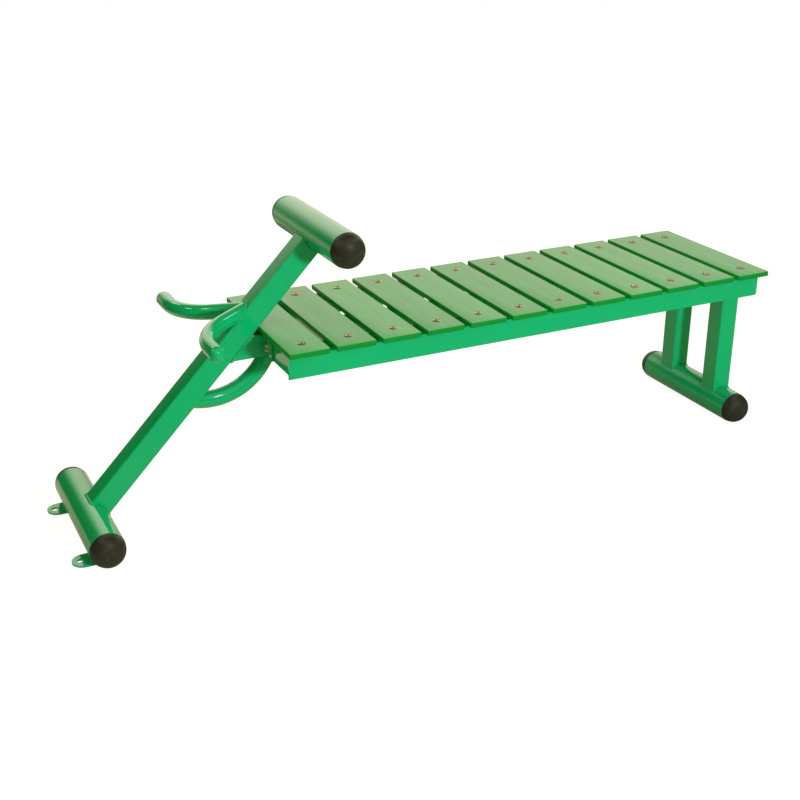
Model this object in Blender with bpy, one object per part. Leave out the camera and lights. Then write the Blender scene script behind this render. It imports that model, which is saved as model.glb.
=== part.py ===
"""Outdoor fitness bench, a slatted seat for sit-ups with a leg bar and two side handles.

Metres, +Z up. X runs along the bench, from the foot with the anchor lugs to the rear legs.
Y runs across it, and the ground is Z = 0. Every place along X is written from the centre line
of the first slat, and the whole bench hangs on an empty that puts the middle of it at X = 0.
"""
import math

import bmesh
import bpy
from mathutils import Matrix, Vector

# Clearances and cutters
GAP = 0.0003                     # between pieces that touch
BOLT_CLEARANCE = 0.0005          # round a bolt in its hole
HEAD_CLEARANCE = 0.0006          # round a slat bolt's head in its counterbore
OVERRUN = 0.020                  # how far a cutter reaches past what it cuts

# Slats, all alike
SLAT_COUNT = 12
SLAT_PITCH = 0.105
SLAT_WIDTH = 0.090
SLAT_LENGTH = 0.400
SLAT_THICKNESS = 0.0125
SLAT_EDGE_RADIUS = 0.003
SEAT_HEIGHT = 0.409              # top of the slats

# Bolts that hold the slats down, one near each end of a slat
SLAT_BOLT_INSET = 0.0225         # from the outer face of the side rail
SLAT_BOLT_DIAMETER = 0.008
SLAT_BOLT_HEAD_DIAMETER = 0.0175
SLAT_BOLT_HEAD_HEIGHT = 0.0045
SLAT_BOLT_TAIL = 0.003           # thread past the nut
COUNTERBORE_DEPTH = 0.003
SLAT_NUT_WIDTH = 0.013           # across the flats
SLAT_NUT_HEIGHT = 0.0065

# Rails, folded angles with the flange under the slats
RAIL_HEIGHT = 0.055
RAIL_FLANGE = 0.050
RAIL_WALL = 0.005
RAIL_CORNER_RADIUS = 0.006       # lower corners of both ends
RAIL_INSET = 0.0275              # outer face of a side rail, from the slats' ends
RAIL_SETBACK = 0.007             # inside the first and the last edge of the slats
CENTRE_RAIL_OFFSET = 0.010       # upright face of the middle rail, from the middle plane

# Crossmembers, angles with the lower leg under the seat
CROSSMEMBER_DEPTH = 0.040
CROSSMEMBER_WALL = 0.004
CROSSMEMBER_SETBACK = 0.015      # inside the first and the last edge of the slats

# Square tube of the post, link and rear legs
SQUARE_WIDTH = 0.050
SQUARE_WALL = 0.003
SQUARE_CORNER_RADIUS = 0.004

# Round tube of the two feet and of the leg bar, with its domed end caps
ROUND_DIAMETER = 0.0761
ROUND_WALL = 0.003
ROUND_LENGTH = 0.326
CAP_DOME = 0.0367
CAP_STEM = 0.020
CAP_WALL = 0.004

# Post, leg bar and rear legs
POST_SLOPE = math.radians(45.8)  # from the ground
LEG_BAR_HEIGHT = 0.599           # of its axis
REAR_LEG_SETBACK = 0.0295        # axis of the rear foot, inside the last edge of the slats
REAR_LEG_SPACING = 0.172         # between the centre lines of the two legs

# Anchor lugs on the front foot
LUG_REACH = 0.068                # tip from the axis of the foot
LUG_WIDTH = 0.050
LUG_THICKNESS = 0.004
LUG_INSET = 0.040                # its centre line, from the end of the tube
LUG_HOLE = 0.014
LUG_HOLE_EDGE = 0.0165           # from the tip to the middle of the hole

# Link between the post and the seat frame, with its bolted flange
LINK_LENGTH = 0.054              # from the back of the post to the plate, along its axis
PLATE_THICKNESS = 0.005
PLATE_WIDTH = 0.120
FLANGE_BOLT_INSET = 0.021        # from the end of the plate
FLANGE_BOLT_DIAMETER = 0.010
FLANGE_BOLT_HEAD_DIAMETER = 0.0175
FLANGE_BOLT_HEAD_HEIGHT = 0.0055
FLANGE_BOLT_TAIL = 0.004
FLANGE_NUT_WIDTH = 0.016         # across the flats
FLANGE_NUT_HEIGHT = 0.008
WASHER_DIAMETER = 0.020
WASHER_THICKNESS = 0.002

# Curved brace from the back of the post up to the front crossmember
BRACE_DIAMETER = 0.0381
BRACE_WALL = 0.003
BRACE_BEND_RADIUS = 0.1437
BRACE_TOP_SETBACK = 0.0077       # its axis at the top, behind the crossmember's face
BRACE_CENTRE_RISE = 0.057        # middle of the bend above the rails' lower edge

# Handles, one bent pipe each side of the post
HANDLE_DIAMETER = 0.0337
HANDLE_WALL = 0.003
HANDLE_HEIGHT = 0.444            # where the axes meet the post's upper face
HANDLE_REACH = 0.110             # from there to the axis of the grip
HANDLE_SPAN = 0.370              # between the centres of the two round ends
HANDLE_BEND_RADIUS = 0.123
HANDLE_ROOT_SPACING = 0.018      # between the two axes where they meet the post
HANDLE_SPLAY = math.radians(33)  # of the straight that leaves the post
HANDLE_DROOP = math.radians(6.5)  # of the grips below the roots

# Facets of the round shapes
ROUND_SIDES = 24
CAP_RINGS = 5
CUP_RINGS = 2
PIPE_SIDES = 14
BEND_STEPS = 8
DOME_STEPS = 3
CORNER_STEPS = 3
NUT_SIDES = 12
HOLE_SIDES = 10
RIM_SHARE = 0.6                  # upright rim of a bolt's head, of the head's height
ROUND_PROFILE_SHARE = 0.5        # shape of a bevel that rounds a corner to an arc
SMOOTH_ANGLE = math.radians(50)

# Heights that follow from the sizes above
SLAT_UNDERSIDE = SEAT_HEIGHT - SLAT_THICKNESS
RAIL_TOP = SLAT_UNDERSIDE - GAP
RAIL_BOTTOM = SLAT_UNDERSIDE - RAIL_HEIGHT
FLANGE_UNDERSIDE = SLAT_UNDERSIDE - RAIL_WALL
ROUND_RADIUS = ROUND_DIAMETER / 2
FOOT_HEIGHT = ROUND_RADIUS
LINK_TOP = RAIL_BOTTOM + SQUARE_WIDTH
LINK_HEIGHT = RAIL_BOTTOM + SQUARE_WIDTH / 2     # also that of the flange bolts

# Places along and across that follow from the sizes above
SEAT_FRONT = -SLAT_WIDTH / 2
SEAT_REAR = (SLAT_COUNT - 1) * SLAT_PITCH + SLAT_WIDTH / 2
FRONT_WEB_X = SEAT_FRONT + CROSSMEMBER_SETBACK
MIDDLE_WEB_X = SLAT_PITCH - CROSSMEMBER_DEPTH / 2    # under the second slat
REAR_WEB_X = SEAT_REAR - CROSSMEMBER_SETBACK
PLATE_BACK_X = FRONT_WEB_X - GAP
PLATE_FRONT_X = PLATE_BACK_X - PLATE_THICKNESS
RAIL_SPACING = SLAT_LENGTH - 2 * RAIL_INSET      # between the outer faces of the side rails
SLAT_BOLT_SPACING = RAIL_SPACING - 2 * SLAT_BOLT_INSET
FLANGE_BOLT_SPACING = PLATE_WIDTH - 2 * FLANGE_BOLT_INSET
LUG_SPACING = ROUND_LENGTH - 2 * LUG_INSET

# The post's centre line, from the axis of the front foot to that of the leg bar
POST_DIRECTION = Vector((math.cos(POST_SLOPE), 0, math.sin(POST_SLOPE)))
POST_NORMAL = Vector((-POST_DIRECTION.z, 0, POST_DIRECTION.x))   # out of its upper face
POST_LEAN = math.pi / 2 - POST_SLOPE
POST_LENGTH = (LEG_BAR_HEIGHT - FOOT_HEIGHT) / POST_DIRECTION.z
LINK_START_X = PLATE_FRONT_X - LINK_LENGTH - SQUARE_WIDTH / 2 / POST_DIRECTION.z
FRONT_FOOT_X = LINK_START_X - (LINK_HEIGHT - FOOT_HEIGHT) / math.tan(POST_SLOPE)
LEG_BAR_X = LINK_START_X + (LEG_BAR_HEIGHT - LINK_HEIGHT) / math.tan(POST_SLOPE)
REAR_FOOT_X = SEAT_REAR - REAR_LEG_SETBACK
POST_START = Vector((FRONT_FOOT_X, 0, FOOT_HEIGHT))
BENCH_MIDDLE_X = (FRONT_FOOT_X - LUG_REACH + max(REAR_FOOT_X + ROUND_RADIUS, SEAT_REAR)) / 2

# Bores that follow from the bolts
SLAT_BOLT_HOLE = SLAT_BOLT_DIAMETER + 2 * BOLT_CLEARANCE
FLANGE_BOLT_HOLE = FLANGE_BOLT_DIAMETER + 2 * BOLT_CLEARANCE
COUNTERBORE_DIAMETER = SLAT_BOLT_HEAD_DIAMETER + 2 * HEAD_CLEARANCE

FINISHES = {
    "green_steel": ((0.020, 0.420, 0.130, 1), 0.30, 0.0),
    "green_timber": ((0.215, 0.440, 0.200, 1), 0.60, 0.0),
    "black_cap": ((0.020, 0.019, 0.015, 1), 0.45, 0.0),
    "bright_steel": ((0.560, 0.500, 0.430, 1), 0.35, 1.0),
}


def clear_scene():
    """Removes whatever the file opened with."""
    for old in list(bpy.data.objects):
        bpy.data.objects.remove(old, do_unlink=True)


def make_material(name, finish):
    """A Principled material of its own for one node."""
    colour, roughness, metallic = FINISHES[finish]
    material = bpy.data.materials.new(name)
    material.use_nodes = True
    shader = material.node_tree.nodes["Principled BSDF"]
    shader.inputs["Base Color"].default_value = colour
    shader.inputs["Roughness"].default_value = roughness
    shader.inputs["Metallic"].default_value = metallic
    material.diffuse_color = colour
    return material


def add_object(name, mesh, location=(0, 0, 0), rotation=(0, 0, 0)):
    """Links a mesh as an object that hangs on the bench's empty."""
    thing = bpy.data.objects.new(name, mesh)
    bpy.context.scene.collection.objects.link(thing)
    thing.parent = bpy.data.objects["bench_origin"]
    thing.location = location
    thing.rotation_euler = rotation
    return thing


def mesh_from(name, shape):
    """Turns a bmesh into a mesh with its faces out and its round shapes smooth."""
    bmesh.ops.recalc_face_normals(shape, faces=shape.faces)
    mesh = bpy.data.meshes.new(name)
    shape.to_mesh(mesh)
    shape.free()
    mesh.shade_smooth()
    mesh.set_sharp_from_angle(angle=SMOOTH_ANGLE)
    return mesh


def finish_part(thing, finish):
    """Gives a node its material."""
    thing.data.materials.clear()
    thing.data.materials.append(make_material(thing.name, finish))
    return thing


def cutter(name, mesh, location=(0, 0, 0), rotation=(0, 0, 0)):
    """An object that only cuts others."""
    tool = add_object("cut_" + name, mesh, location, rotation)
    tool.hide_render = True
    tool.display_type = "WIRE"
    return tool


def cut(thing, tool):
    """Takes a cutter's shape out of an object."""
    modifier = thing.modifiers.new("cut_" + tool.name, "BOOLEAN")
    modifier.operation = "DIFFERENCE"
    modifier.solver = "EXACT"
    modifier.object = tool


def fuse(thing, other):
    """Joins a second object of the same welded piece to the first."""
    modifier = thing.modifiers.new("fuse_" + other.name, "BOOLEAN")
    modifier.operation = "UNION"
    modifier.solver = "EXACT"
    modifier.object = other


def settled_mesh(thing):
    """The mesh of an object with its modifiers worked in."""
    bpy.context.view_layer.update()
    graph = bpy.context.evaluated_depsgraph_get()
    return bpy.data.meshes.new_from_object(thing.evaluated_get(graph), depsgraph=graph)


def ring_of_points(radius, sides):
    """Points of a circle about the origin."""
    turns = [2 * math.pi * step / sides for step in range(sides)]
    return [(radius * math.cos(turn), radius * math.sin(turn)) for turn in turns]


def quarter_turns(steps):
    """Angles from nothing to a right angle in even steps."""
    return [step / steps * math.pi / 2 for step in range(steps + 1)]


def rounded_square(width, radius):
    """Outline of a square tube with round corners."""
    inset = width / 2 - radius
    outline = []
    for quarter, (side_a, side_b) in enumerate(((1, 1), (-1, 1), (-1, -1), (1, -1))):
        for step in range(CORNER_STEPS + 1):
            turn = (quarter + step / CORNER_STEPS) * math.pi / 2
            outline.append((side_a * inset + radius * math.cos(turn),
                            side_b * inset + radius * math.sin(turn)))
    return outline


def prism(outline, start, end, hole=None):
    """A bmesh of an outline run from start to end along Z, with an optional bore.

    The bore's outline has as many points as the outer one, in the same order.
    """
    shape = bmesh.new()
    rings = [[shape.verts.new((a, b, height)) for a, b in points]
             for height, points in ((start, outline), (end, outline))]
    if hole:
        rings += [[shape.verts.new((a, b, height)) for a, b in hole] for height in (end, start)]
    else:
        shape.faces.new(rings[0])
        shape.faces.new(rings[1])
    for index in range(len(rings) if hole else 1):
        low, high = rings[index], rings[(index + 1) % len(rings)]
        for step in range(len(outline)):
            after = (step + 1) % len(outline)
            shape.faces.new((low[step], low[after], high[after], high[step]))
    return shape


def along_x(shape):
    """Lays a prism down so that its length is X, its first axis Y and its second Z."""
    turn = Matrix(((0, 0, 1, 0), (1, 0, 0, 0), (0, 1, 0, 0), (0, 0, 0, 1)))
    bmesh.ops.transform(shape, matrix=turn, verts=shape.verts)
    return shape


def along_y(shape):
    """Lays a prism down so that its length is Y, its first axis Z and its second X."""
    turn = Matrix(((0, 1, 0, 0), (0, 0, 1, 0), (1, 0, 0, 0), (0, 0, 0, 1)))
    bmesh.ops.transform(shape, matrix=turn, verts=shape.verts)
    return shape


def box_between(low, high):
    """A bmesh box from its lowest to its highest corner."""
    low, high = Vector(low), Vector(high)
    shape = bmesh.new()
    size = high - low
    middle = (high + low) / 2
    bmesh.ops.create_cube(shape, size=1, matrix=Matrix.Translation(middle) @ Matrix.Diagonal(
        (size.x, size.y, size.z, 1)))
    return shape


def joined(shapes):
    """Several bmeshes in one, as separate bodies."""
    whole = bmesh.new()
    for shape in shapes:
        piece = bpy.data.meshes.new("piece")
        bmesh.ops.recalc_face_normals(shape, faces=shape.faces)
        shape.to_mesh(piece)
        shape.free()
        whole.from_mesh(piece)
        bpy.data.meshes.remove(piece)
    return whole


def skinned(shape, rows):
    """Joins rows of points with faces, where a row of one point is a tip."""
    sides = max(len(row) for row in rows)
    for low, high in zip(rows, rows[1:]):
        for step in range(sides):
            after = (step + 1) % sides
            corners = [low[step % len(low)], low[after % len(low)],
                       high[after % len(high)], high[step % len(high)]]
            shape.faces.new(list(dict.fromkeys(corners)))
    return shape


def stacked(levels):
    """A closed shape through flat outlines of as many points, each with its height.

    An outline of one point closes an end.
    """
    shape = bmesh.new()
    return skinned(shape, [[shape.verts.new((a, b, height)) for a, b in outline]
                           for outline, height in levels])


def turned(profile, sides):
    """A closed shape turned about Z from (radius, height) points, whose ends lie on the axis."""
    return stacked([(ring_of_points(radius, sides) if radius > 0 else [(0, 0)], height)
                    for radius, height in profile])


def swept(path, side, radius, sides, dome=False):
    """A round bar along a flat path; side is the unit vector square to the path's plane."""
    stops = []
    for index, point in enumerate(path):
        before = path[max(index - 1, 0)]
        after = path[min(index + 1, len(path) - 1)]
        stops.append((point, (after - before).normalized(), radius))
    if dome:
        end, heading, _ = stops[-1]
        for step in range(1, DOME_STEPS):
            turn = step / DOME_STEPS * math.pi / 2
            stops.append((end + heading * radius * math.sin(turn), heading, radius * math.cos(turn)))
    shape = bmesh.new()
    rows = [[shape.verts.new(point + side * a + heading.cross(side) * b)
             for a, b in ring_of_points(size, sides)] for point, heading, size in stops]
    shape.faces.new(rows[0])
    if dome:
        rows.append([shape.verts.new(end + heading * radius)])
    else:
        shape.faces.new(rows[-1])
    return skinned(shape, rows)


def angle_outline(flange, height, thickness, wall):
    """Outline of a folded angle with a round heel at the origin: a flange, and an upright leg."""
    outline = [(flange, 0), (flange, -thickness), (wall, -thickness), (wall, -height),
               (0, -height)]
    for step in range(CORNER_STEPS + 1):
        turn = math.pi - step / CORNER_STEPS * math.pi / 2
        outline.append((wall + wall * math.cos(turn), -wall + wall * math.sin(turn)))
    return outline


def post_front_x(height):
    """X where the post's upper face has this height."""
    face = POST_START + POST_NORMAL * (SQUARE_WIDTH / 2)
    return face.x + (height - face.z) / math.tan(POST_SLOPE)


def round_tube(name, x, height):
    """One of the three level round tubes."""
    half = ROUND_LENGTH / 2
    outer = ring_of_points(ROUND_RADIUS, ROUND_SIDES)
    bore = ring_of_points(ROUND_RADIUS - ROUND_WALL, ROUND_SIDES)
    mesh = mesh_from(name, along_y(prism(outer, -half, half, bore)))
    return finish_part(add_object(name, mesh, (x, 0, height)), "green_steel")


def round_tube_cutter(name, x, height):
    """The space that a round tube takes, for the coped ends that meet it."""
    half = ROUND_LENGTH / 2 + OVERRUN
    outer = ring_of_points(ROUND_RADIUS + GAP, ROUND_SIDES)
    return cutter(name, mesh_from(name, along_y(prism(outer, -half, half))), (x, 0, height))


def cap_profile():
    """Radius and height of a domed cap from its tip, round the rim and into the cup."""
    stem = ROUND_RADIUS - ROUND_WALL - GAP
    cup = stem - CAP_WALL
    dome = [(ROUND_RADIUS * math.sin(turn), CAP_DOME * math.cos(turn))
            for turn in quarter_turns(CAP_RINGS)]
    hollow = [(cup * math.sin(turn), (CAP_DOME - CAP_WALL) * math.cos(turn))
              for turn in reversed(quarter_turns(CUP_RINGS))]
    return dome + [(stem, 0), (stem, -CAP_STEM), (cup, -CAP_STEM)] + hollow


def end_cap(name, x, height, side):
    """A moulded dome whose hollow stem plugs into the end of a round tube."""
    mesh = mesh_from(name, turned(cap_profile(), ROUND_SIDES))
    place = (x, side * (ROUND_LENGTH / 2 + GAP), height)
    return finish_part(add_object(name, mesh, place, (-side * math.pi / 2, 0, 0)), "black_cap")


def capped_tube(name, cap_name, x, height):
    """A round tube and its two end caps."""
    round_tube(name, x, height)
    end_cap(cap_name + "_left", x, height, -1)
    end_cap(cap_name + "_right", x, height, 1)


def square_tube(length):
    """A bmesh of square tube that stands on the origin."""
    outer = rounded_square(SQUARE_WIDTH, SQUARE_CORNER_RADIUS)
    bore = rounded_square(SQUARE_WIDTH - 2 * SQUARE_WALL, SQUARE_CORNER_RADIUS - SQUARE_WALL)
    return prism(outer, 0, length, bore)


def front_post(foot_space, bar_space):
    """The sloping post, coped on the front foot and under the leg bar."""
    mesh = mesh_from("front_post", square_tube(POST_LENGTH))
    post = add_object("front_post", mesh, POST_START, (0, POST_LEAN, 0))
    cut(post, foot_space)
    cut(post, bar_space)
    return finish_part(post, "green_steel")


def post_space():
    """The space that the post takes, for what is welded on its faces."""
    half = SQUARE_WIDTH / 2 + GAP
    mesh = mesh_from("post_space", box_between((-half, -half, 0), (half, half, POST_LENGTH)))
    return cutter("post_space", mesh, POST_START, (0, POST_LEAN, 0))


def link_tube(post_cut, holes):
    """The short level tube from the back of the post, with the flange plate welded to its end."""
    end = (PLATE_FRONT_X + PLATE_BACK_X) / 2
    mesh = mesh_from("link_tube", along_x(square_tube(end - LINK_START_X)))
    link = add_object("link_tube", mesh, (LINK_START_X, 0, LINK_HEIGHT))
    low = (PLATE_FRONT_X, -PLATE_WIDTH / 2, RAIL_BOTTOM)
    high = (PLATE_BACK_X, PLATE_WIDTH / 2, LINK_TOP)
    fuse(link, cutter("flange_plate", mesh_from("flange_plate", box_between(low, high))))
    cut(link, holes)
    cut(link, post_cut)
    return finish_part(link, "green_steel")


def flange_bolt_places():
    """Where the two flange bolts pass the plate's front face."""
    return [Vector((PLATE_FRONT_X, side * FLANGE_BOLT_SPACING / 2, LINK_HEIGHT))
            for side in (-1, 1)]


def flange_hole_cutter():
    """The two bores through the plate and the crossmember's web."""
    reach = PLATE_THICKNESS + CROSSMEMBER_WALL + OVERRUN
    bores = []
    for place in flange_bolt_places():
        bore = along_x(prism(ring_of_points(FLANGE_BOLT_HOLE / 2, HOLE_SIDES), -OVERRUN, reach))
        bmesh.ops.translate(bore, vec=place, verts=bore.verts)
        bores.append(bore)
    return cutter("flange_holes", mesh_from("flange_holes", joined(bores)))


def hexagon(width):
    """Outline of a nut from its size across the flats, with a point midway along each flat."""
    corner = width / 2 / math.cos(math.pi / 6)
    return [(size * math.cos(step * math.pi / 6), size * math.sin(step * math.pi / 6))
            for step, size in enumerate((corner, width / 2) * 6)]


def bolt_levels(size, nut_start, nut_end, tail, washer=None):
    """Levels of a bolt from its round head on the origin down through its nut to its point.

    size holds the diameters of the head and the shank, the head's height and the nut's width.
    washer holds the diameter and the thickness of a washer under the head.
    """
    head_diameter, diameter, head_height, nut_width = size
    head = ring_of_points(head_diameter / 2, NUT_SIDES)
    shank = ring_of_points(diameter / 2, NUT_SIDES)
    nut = hexagon(nut_width)
    levels = [([(0, 0)], head_height), (head, head_height * RIM_SHARE), (head, 0)]
    under_head = 0
    if washer:
        disc = ring_of_points(washer[0] / 2, NUT_SIDES)
        under_head = -washer[1]
        levels += [(disc, 0), (disc, under_head)]
    return levels + [(shank, under_head), (shank, nut_start), (nut, nut_start), (nut, nut_end),
                     ([(0, 0)], nut_end - tail)]


def flange_bolt(name, place):
    """A bolt with its washer in front of the plate and its nut behind the crossmember."""
    size = (FLANGE_BOLT_HEAD_DIAMETER, FLANGE_BOLT_DIAMETER, FLANGE_BOLT_HEAD_HEIGHT,
            FLANGE_NUT_WIDTH)
    nut_start = WASHER_THICKNESS + GAP + PLATE_THICKNESS + GAP + CROSSMEMBER_WALL + GAP
    nut_end = nut_start + FLANGE_NUT_HEIGHT
    levels = bolt_levels(size, -nut_start, -nut_end, FLANGE_BOLT_TAIL,
                         (WASHER_DIAMETER, WASHER_THICKNESS))
    facing_front = Matrix(((0, 0, -1, 0), (0, 1, 0, 0), (1, 0, 0, 0), (0, 0, 0, 1)))
    shape = stacked(levels)
    bmesh.ops.transform(shape, matrix=facing_front, verts=shape.verts)
    under_head = place - Vector((GAP + WASHER_THICKNESS, 0, 0))
    return finish_part(add_object(name, mesh_from(name, shape), under_head), "bright_steel")


def slat_bolt_holes(side):
    """Upright bores through one side rail's flange, for its row of slat bolts."""
    low = FLANGE_UNDERSIDE - SLAT_NUT_HEIGHT
    bores = []
    for index in range(SLAT_COUNT):
        bore = prism(ring_of_points(SLAT_BOLT_HOLE / 2, HOLE_SIDES), low, SEAT_HEIGHT)
        place = (index * SLAT_PITCH, side * SLAT_BOLT_SPACING / 2, 0)
        bmesh.ops.translate(bore, vec=place, verts=bore.verts)
        bores.append(bore)
    name = "rail_holes_left" if side < 0 else "rail_holes_right"
    return cutter(name, mesh_from(name, joined(bores)))


def round_lower_ends(shape):
    """Rounds the two lower corners at the ends of a rail's upright leg."""
    lowest = min(vert.co.z for vert in shape.verts)
    corners = [edge for edge in shape.edges
               if all(vert.co.z == lowest for vert in edge.verts)
               and edge.verts[0].co.x == edge.verts[1].co.x]
    bmesh.ops.bevel(shape, geom=corners, offset=RAIL_CORNER_RADIUS, segments=CORNER_STEPS,
                    affect="EDGES", profile=ROUND_PROFILE_SHARE)
    return shape


def side_rail(name, side):
    """A folded angle along one side, with the bores for its row of slat bolts."""
    start = SEAT_FRONT + RAIL_SETBACK
    end = SEAT_REAR - RAIL_SETBACK
    outline = angle_outline(RAIL_FLANGE, RAIL_TOP - RAIL_BOTTOM, RAIL_TOP - FLANGE_UNDERSIDE,
                            RAIL_WALL)
    shape = round_lower_ends(along_x(prism(outline, start, end)))
    if side > 0:
        bmesh.ops.scale(shape, vec=(1, -1, 1), verts=shape.verts)
    place = (0, side * RAIL_SPACING / 2, RAIL_TOP)
    rail = add_object(name, mesh_from(name, shape), place)
    cut(rail, slat_bolt_holes(side))
    return finish_part(rail, "green_steel")


def under_frame():
    """The welded frame under the seat: a middle rail on two crossmembers."""
    seat = CROSSMEMBER_WALL / 2
    start = MIDDLE_WEB_X + seat
    end = REAR_WEB_X - seat
    outline = angle_outline(RAIL_FLANGE, RAIL_TOP - RAIL_BOTTOM - seat,
                            RAIL_TOP - FLANGE_UNDERSIDE, RAIL_WALL)
    shape = along_x(prism(outline, start, end))
    bmesh.ops.scale(shape, vec=(1, -1, 1), verts=shape.verts)
    place = (0, CENTRE_RAIL_OFFSET, RAIL_TOP)
    frame = add_object("under_frame", mesh_from("under_frame", shape), place)
    for name, web_x, inward in (("middle", MIDDLE_WEB_X, 1), ("rear", REAR_WEB_X, -1)):
        mesh = crossmember_mesh(name + "_crossmember", inward)
        fuse(frame, cutter(name + "_crossmember", mesh, (web_x, 0, RAIL_BOTTOM)))
    return finish_part(frame, "green_steel")


def crossmember_mesh(name, inward):
    """An angle between the side rails: a web up to their flanges and a leg under the seat."""
    half = RAIL_SPACING / 2 - RAIL_WALL - GAP
    height = FLANGE_UNDERSIDE - GAP - RAIL_BOTTOM
    outline = [(0, 0), (0, inward * CROSSMEMBER_DEPTH),
               (CROSSMEMBER_WALL, inward * CROSSMEMBER_DEPTH),
               (CROSSMEMBER_WALL, inward * CROSSMEMBER_WALL),
               (height, inward * CROSSMEMBER_WALL), (height, 0)]
    return mesh_from(name, along_y(prism(outline, -half, half)))


def front_crossmember(holes):
    """The crossmember under the first slat, which the flange is bolted to."""
    mesh = crossmember_mesh("front_crossmember", 1)
    member = add_object("front_crossmember", mesh, (FRONT_WEB_X, 0, RAIL_BOTTOM))
    cut(member, holes)
    return finish_part(member, "green_steel")


def slat_mesh():
    """One board with rounded edges and a counterbored hole near each end."""
    size = (SLAT_WIDTH / 2, SLAT_LENGTH / 2, SLAT_THICKNESS / 2)
    board = add_object("slat_pattern", mesh_from(
        "slat_pattern", box_between([-value for value in size], size)))
    bevel = board.modifiers.new("round_edges", "BEVEL")
    bevel.width = SLAT_EDGE_RADIUS
    bevel.segments = 1
    bevel.limit_method = "NONE"
    top = SLAT_THICKNESS / 2
    floor = top - COUNTERBORE_DEPTH
    shapes = []
    for side in (-1, 1):
        profile = [(0, -top - OVERRUN), (SLAT_BOLT_HOLE / 2, -top - OVERRUN),
                   (SLAT_BOLT_HOLE / 2, floor), (COUNTERBORE_DIAMETER / 2, floor),
                   (COUNTERBORE_DIAMETER / 2, top + OVERRUN), (0, top + OVERRUN)]
        bore = turned(profile, HOLE_SIDES)
        bmesh.ops.translate(bore, vec=(0, side * SLAT_BOLT_SPACING / 2, 0), verts=bore.verts)
        shapes.append(bore)
    tool = cutter("slat_bores", mesh_from("slat_bores", joined(shapes)))
    cut(board, tool)
    mesh = settled_mesh(board)
    bpy.data.objects.remove(board)
    bpy.data.objects.remove(tool)
    return mesh


def slats():
    """Twelve boards across the rails."""
    pattern = slat_mesh()
    for index in range(SLAT_COUNT):
        name = f"slat_{index + 1:02d}"
        mesh = pattern.copy()
        mesh.name = name
        place = (index * SLAT_PITCH, 0, SEAT_HEIGHT - SLAT_THICKNESS / 2)
        finish_part(add_object(name, mesh, place), "green_timber")


def slat_bolts(side_name, side):
    """The row of bolts with their nuts on one side rail."""
    seat = SEAT_HEIGHT - COUNTERBORE_DEPTH + GAP
    nut_start = FLANGE_UNDERSIDE - GAP - seat
    nut_end = nut_start - SLAT_NUT_HEIGHT
    size = (SLAT_BOLT_HEAD_DIAMETER, SLAT_BOLT_DIAMETER, SLAT_BOLT_HEAD_HEIGHT, SLAT_NUT_WIDTH)
    levels = bolt_levels(size, nut_start, nut_end, SLAT_BOLT_TAIL)
    mesh = mesh_from("slat_bolt", stacked(levels))
    for index in range(SLAT_COUNT):
        name = f"slat_bolt_{side_name}_{index + 1:02d}"
        place = (index * SLAT_PITCH, side * SLAT_BOLT_SPACING / 2, seat)
        finish_part(add_object(name, mesh.copy(), place), "bright_steel")


def rear_leg(name, side, foot_space):
    """An upright leg from the rear foot to the lower leg of the last crossmember."""
    mesh = mesh_from(name, square_tube(RAIL_BOTTOM - GAP - FOOT_HEIGHT))
    leg = add_object(name, mesh, (REAR_FOOT_X, side * REAR_LEG_SPACING / 2, FOOT_HEIGHT))
    cut(leg, foot_space)
    return finish_part(leg, "green_steel")


def anchor_lug(name, side):
    """A flat round-ended tab on the ground, welded to the front foot, with a bolt hole."""
    radius = LUG_WIDTH / 2
    reach = math.sqrt((ROUND_RADIUS + GAP) ** 2 - (ROUND_RADIUS - LUG_THICKNESS) ** 2)
    inner = FRONT_FOOT_X - reach
    middle = FRONT_FOOT_X - LUG_REACH + radius
    outline = [(inner, -radius), (inner, radius)]
    for step in range(HOLE_SIDES + 1):
        turn = math.pi / 2 + math.pi * step / HOLE_SIDES
        outline.append((middle + radius * math.cos(turn), radius * math.sin(turn)))
    place = (0, side * LUG_SPACING / 2, 0)
    lug = add_object(name, mesh_from(name, prism(outline, 0, LUG_THICKNESS)), place)
    bore = prism(ring_of_points(LUG_HOLE / 2, HOLE_SIDES), -OVERRUN, LUG_THICKNESS + OVERRUN)
    hole_x = FRONT_FOOT_X - LUG_REACH + LUG_HOLE_EDGE
    cut(lug, cutter(name + "_hole", mesh_from(name + "_hole", bore), (hole_x,) + place[1:]))
    return finish_part(lug, "green_steel")


def brace_path():
    """Axis of the brace: one arc in the middle plane, from inside the post past the crossmember."""
    rise = BRACE_CENTRE_RISE
    top_x = FRONT_WEB_X + BRACE_TOP_SETBACK
    centre = Vector((top_x - math.sqrt(BRACE_BEND_RADIUS ** 2 - rise ** 2), 0, RAIL_BOTTOM + rise))
    side = (centre - POST_START).dot(POST_NORMAL)
    middle = centre - POST_NORMAL * side
    start = middle - POST_DIRECTION * math.sqrt(BRACE_BEND_RADIUS ** 2 - side ** 2)
    first = math.atan2(start.x - centre.x, centre.z - start.z)
    last = math.pi / 2
    turns = [first + (last - first) * step / BEND_STEPS for step in range(BEND_STEPS + 1)]
    return [centre + BRACE_BEND_RADIUS * Vector((math.sin(turn), 0, -math.cos(turn)))
            for turn in turns]


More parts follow.
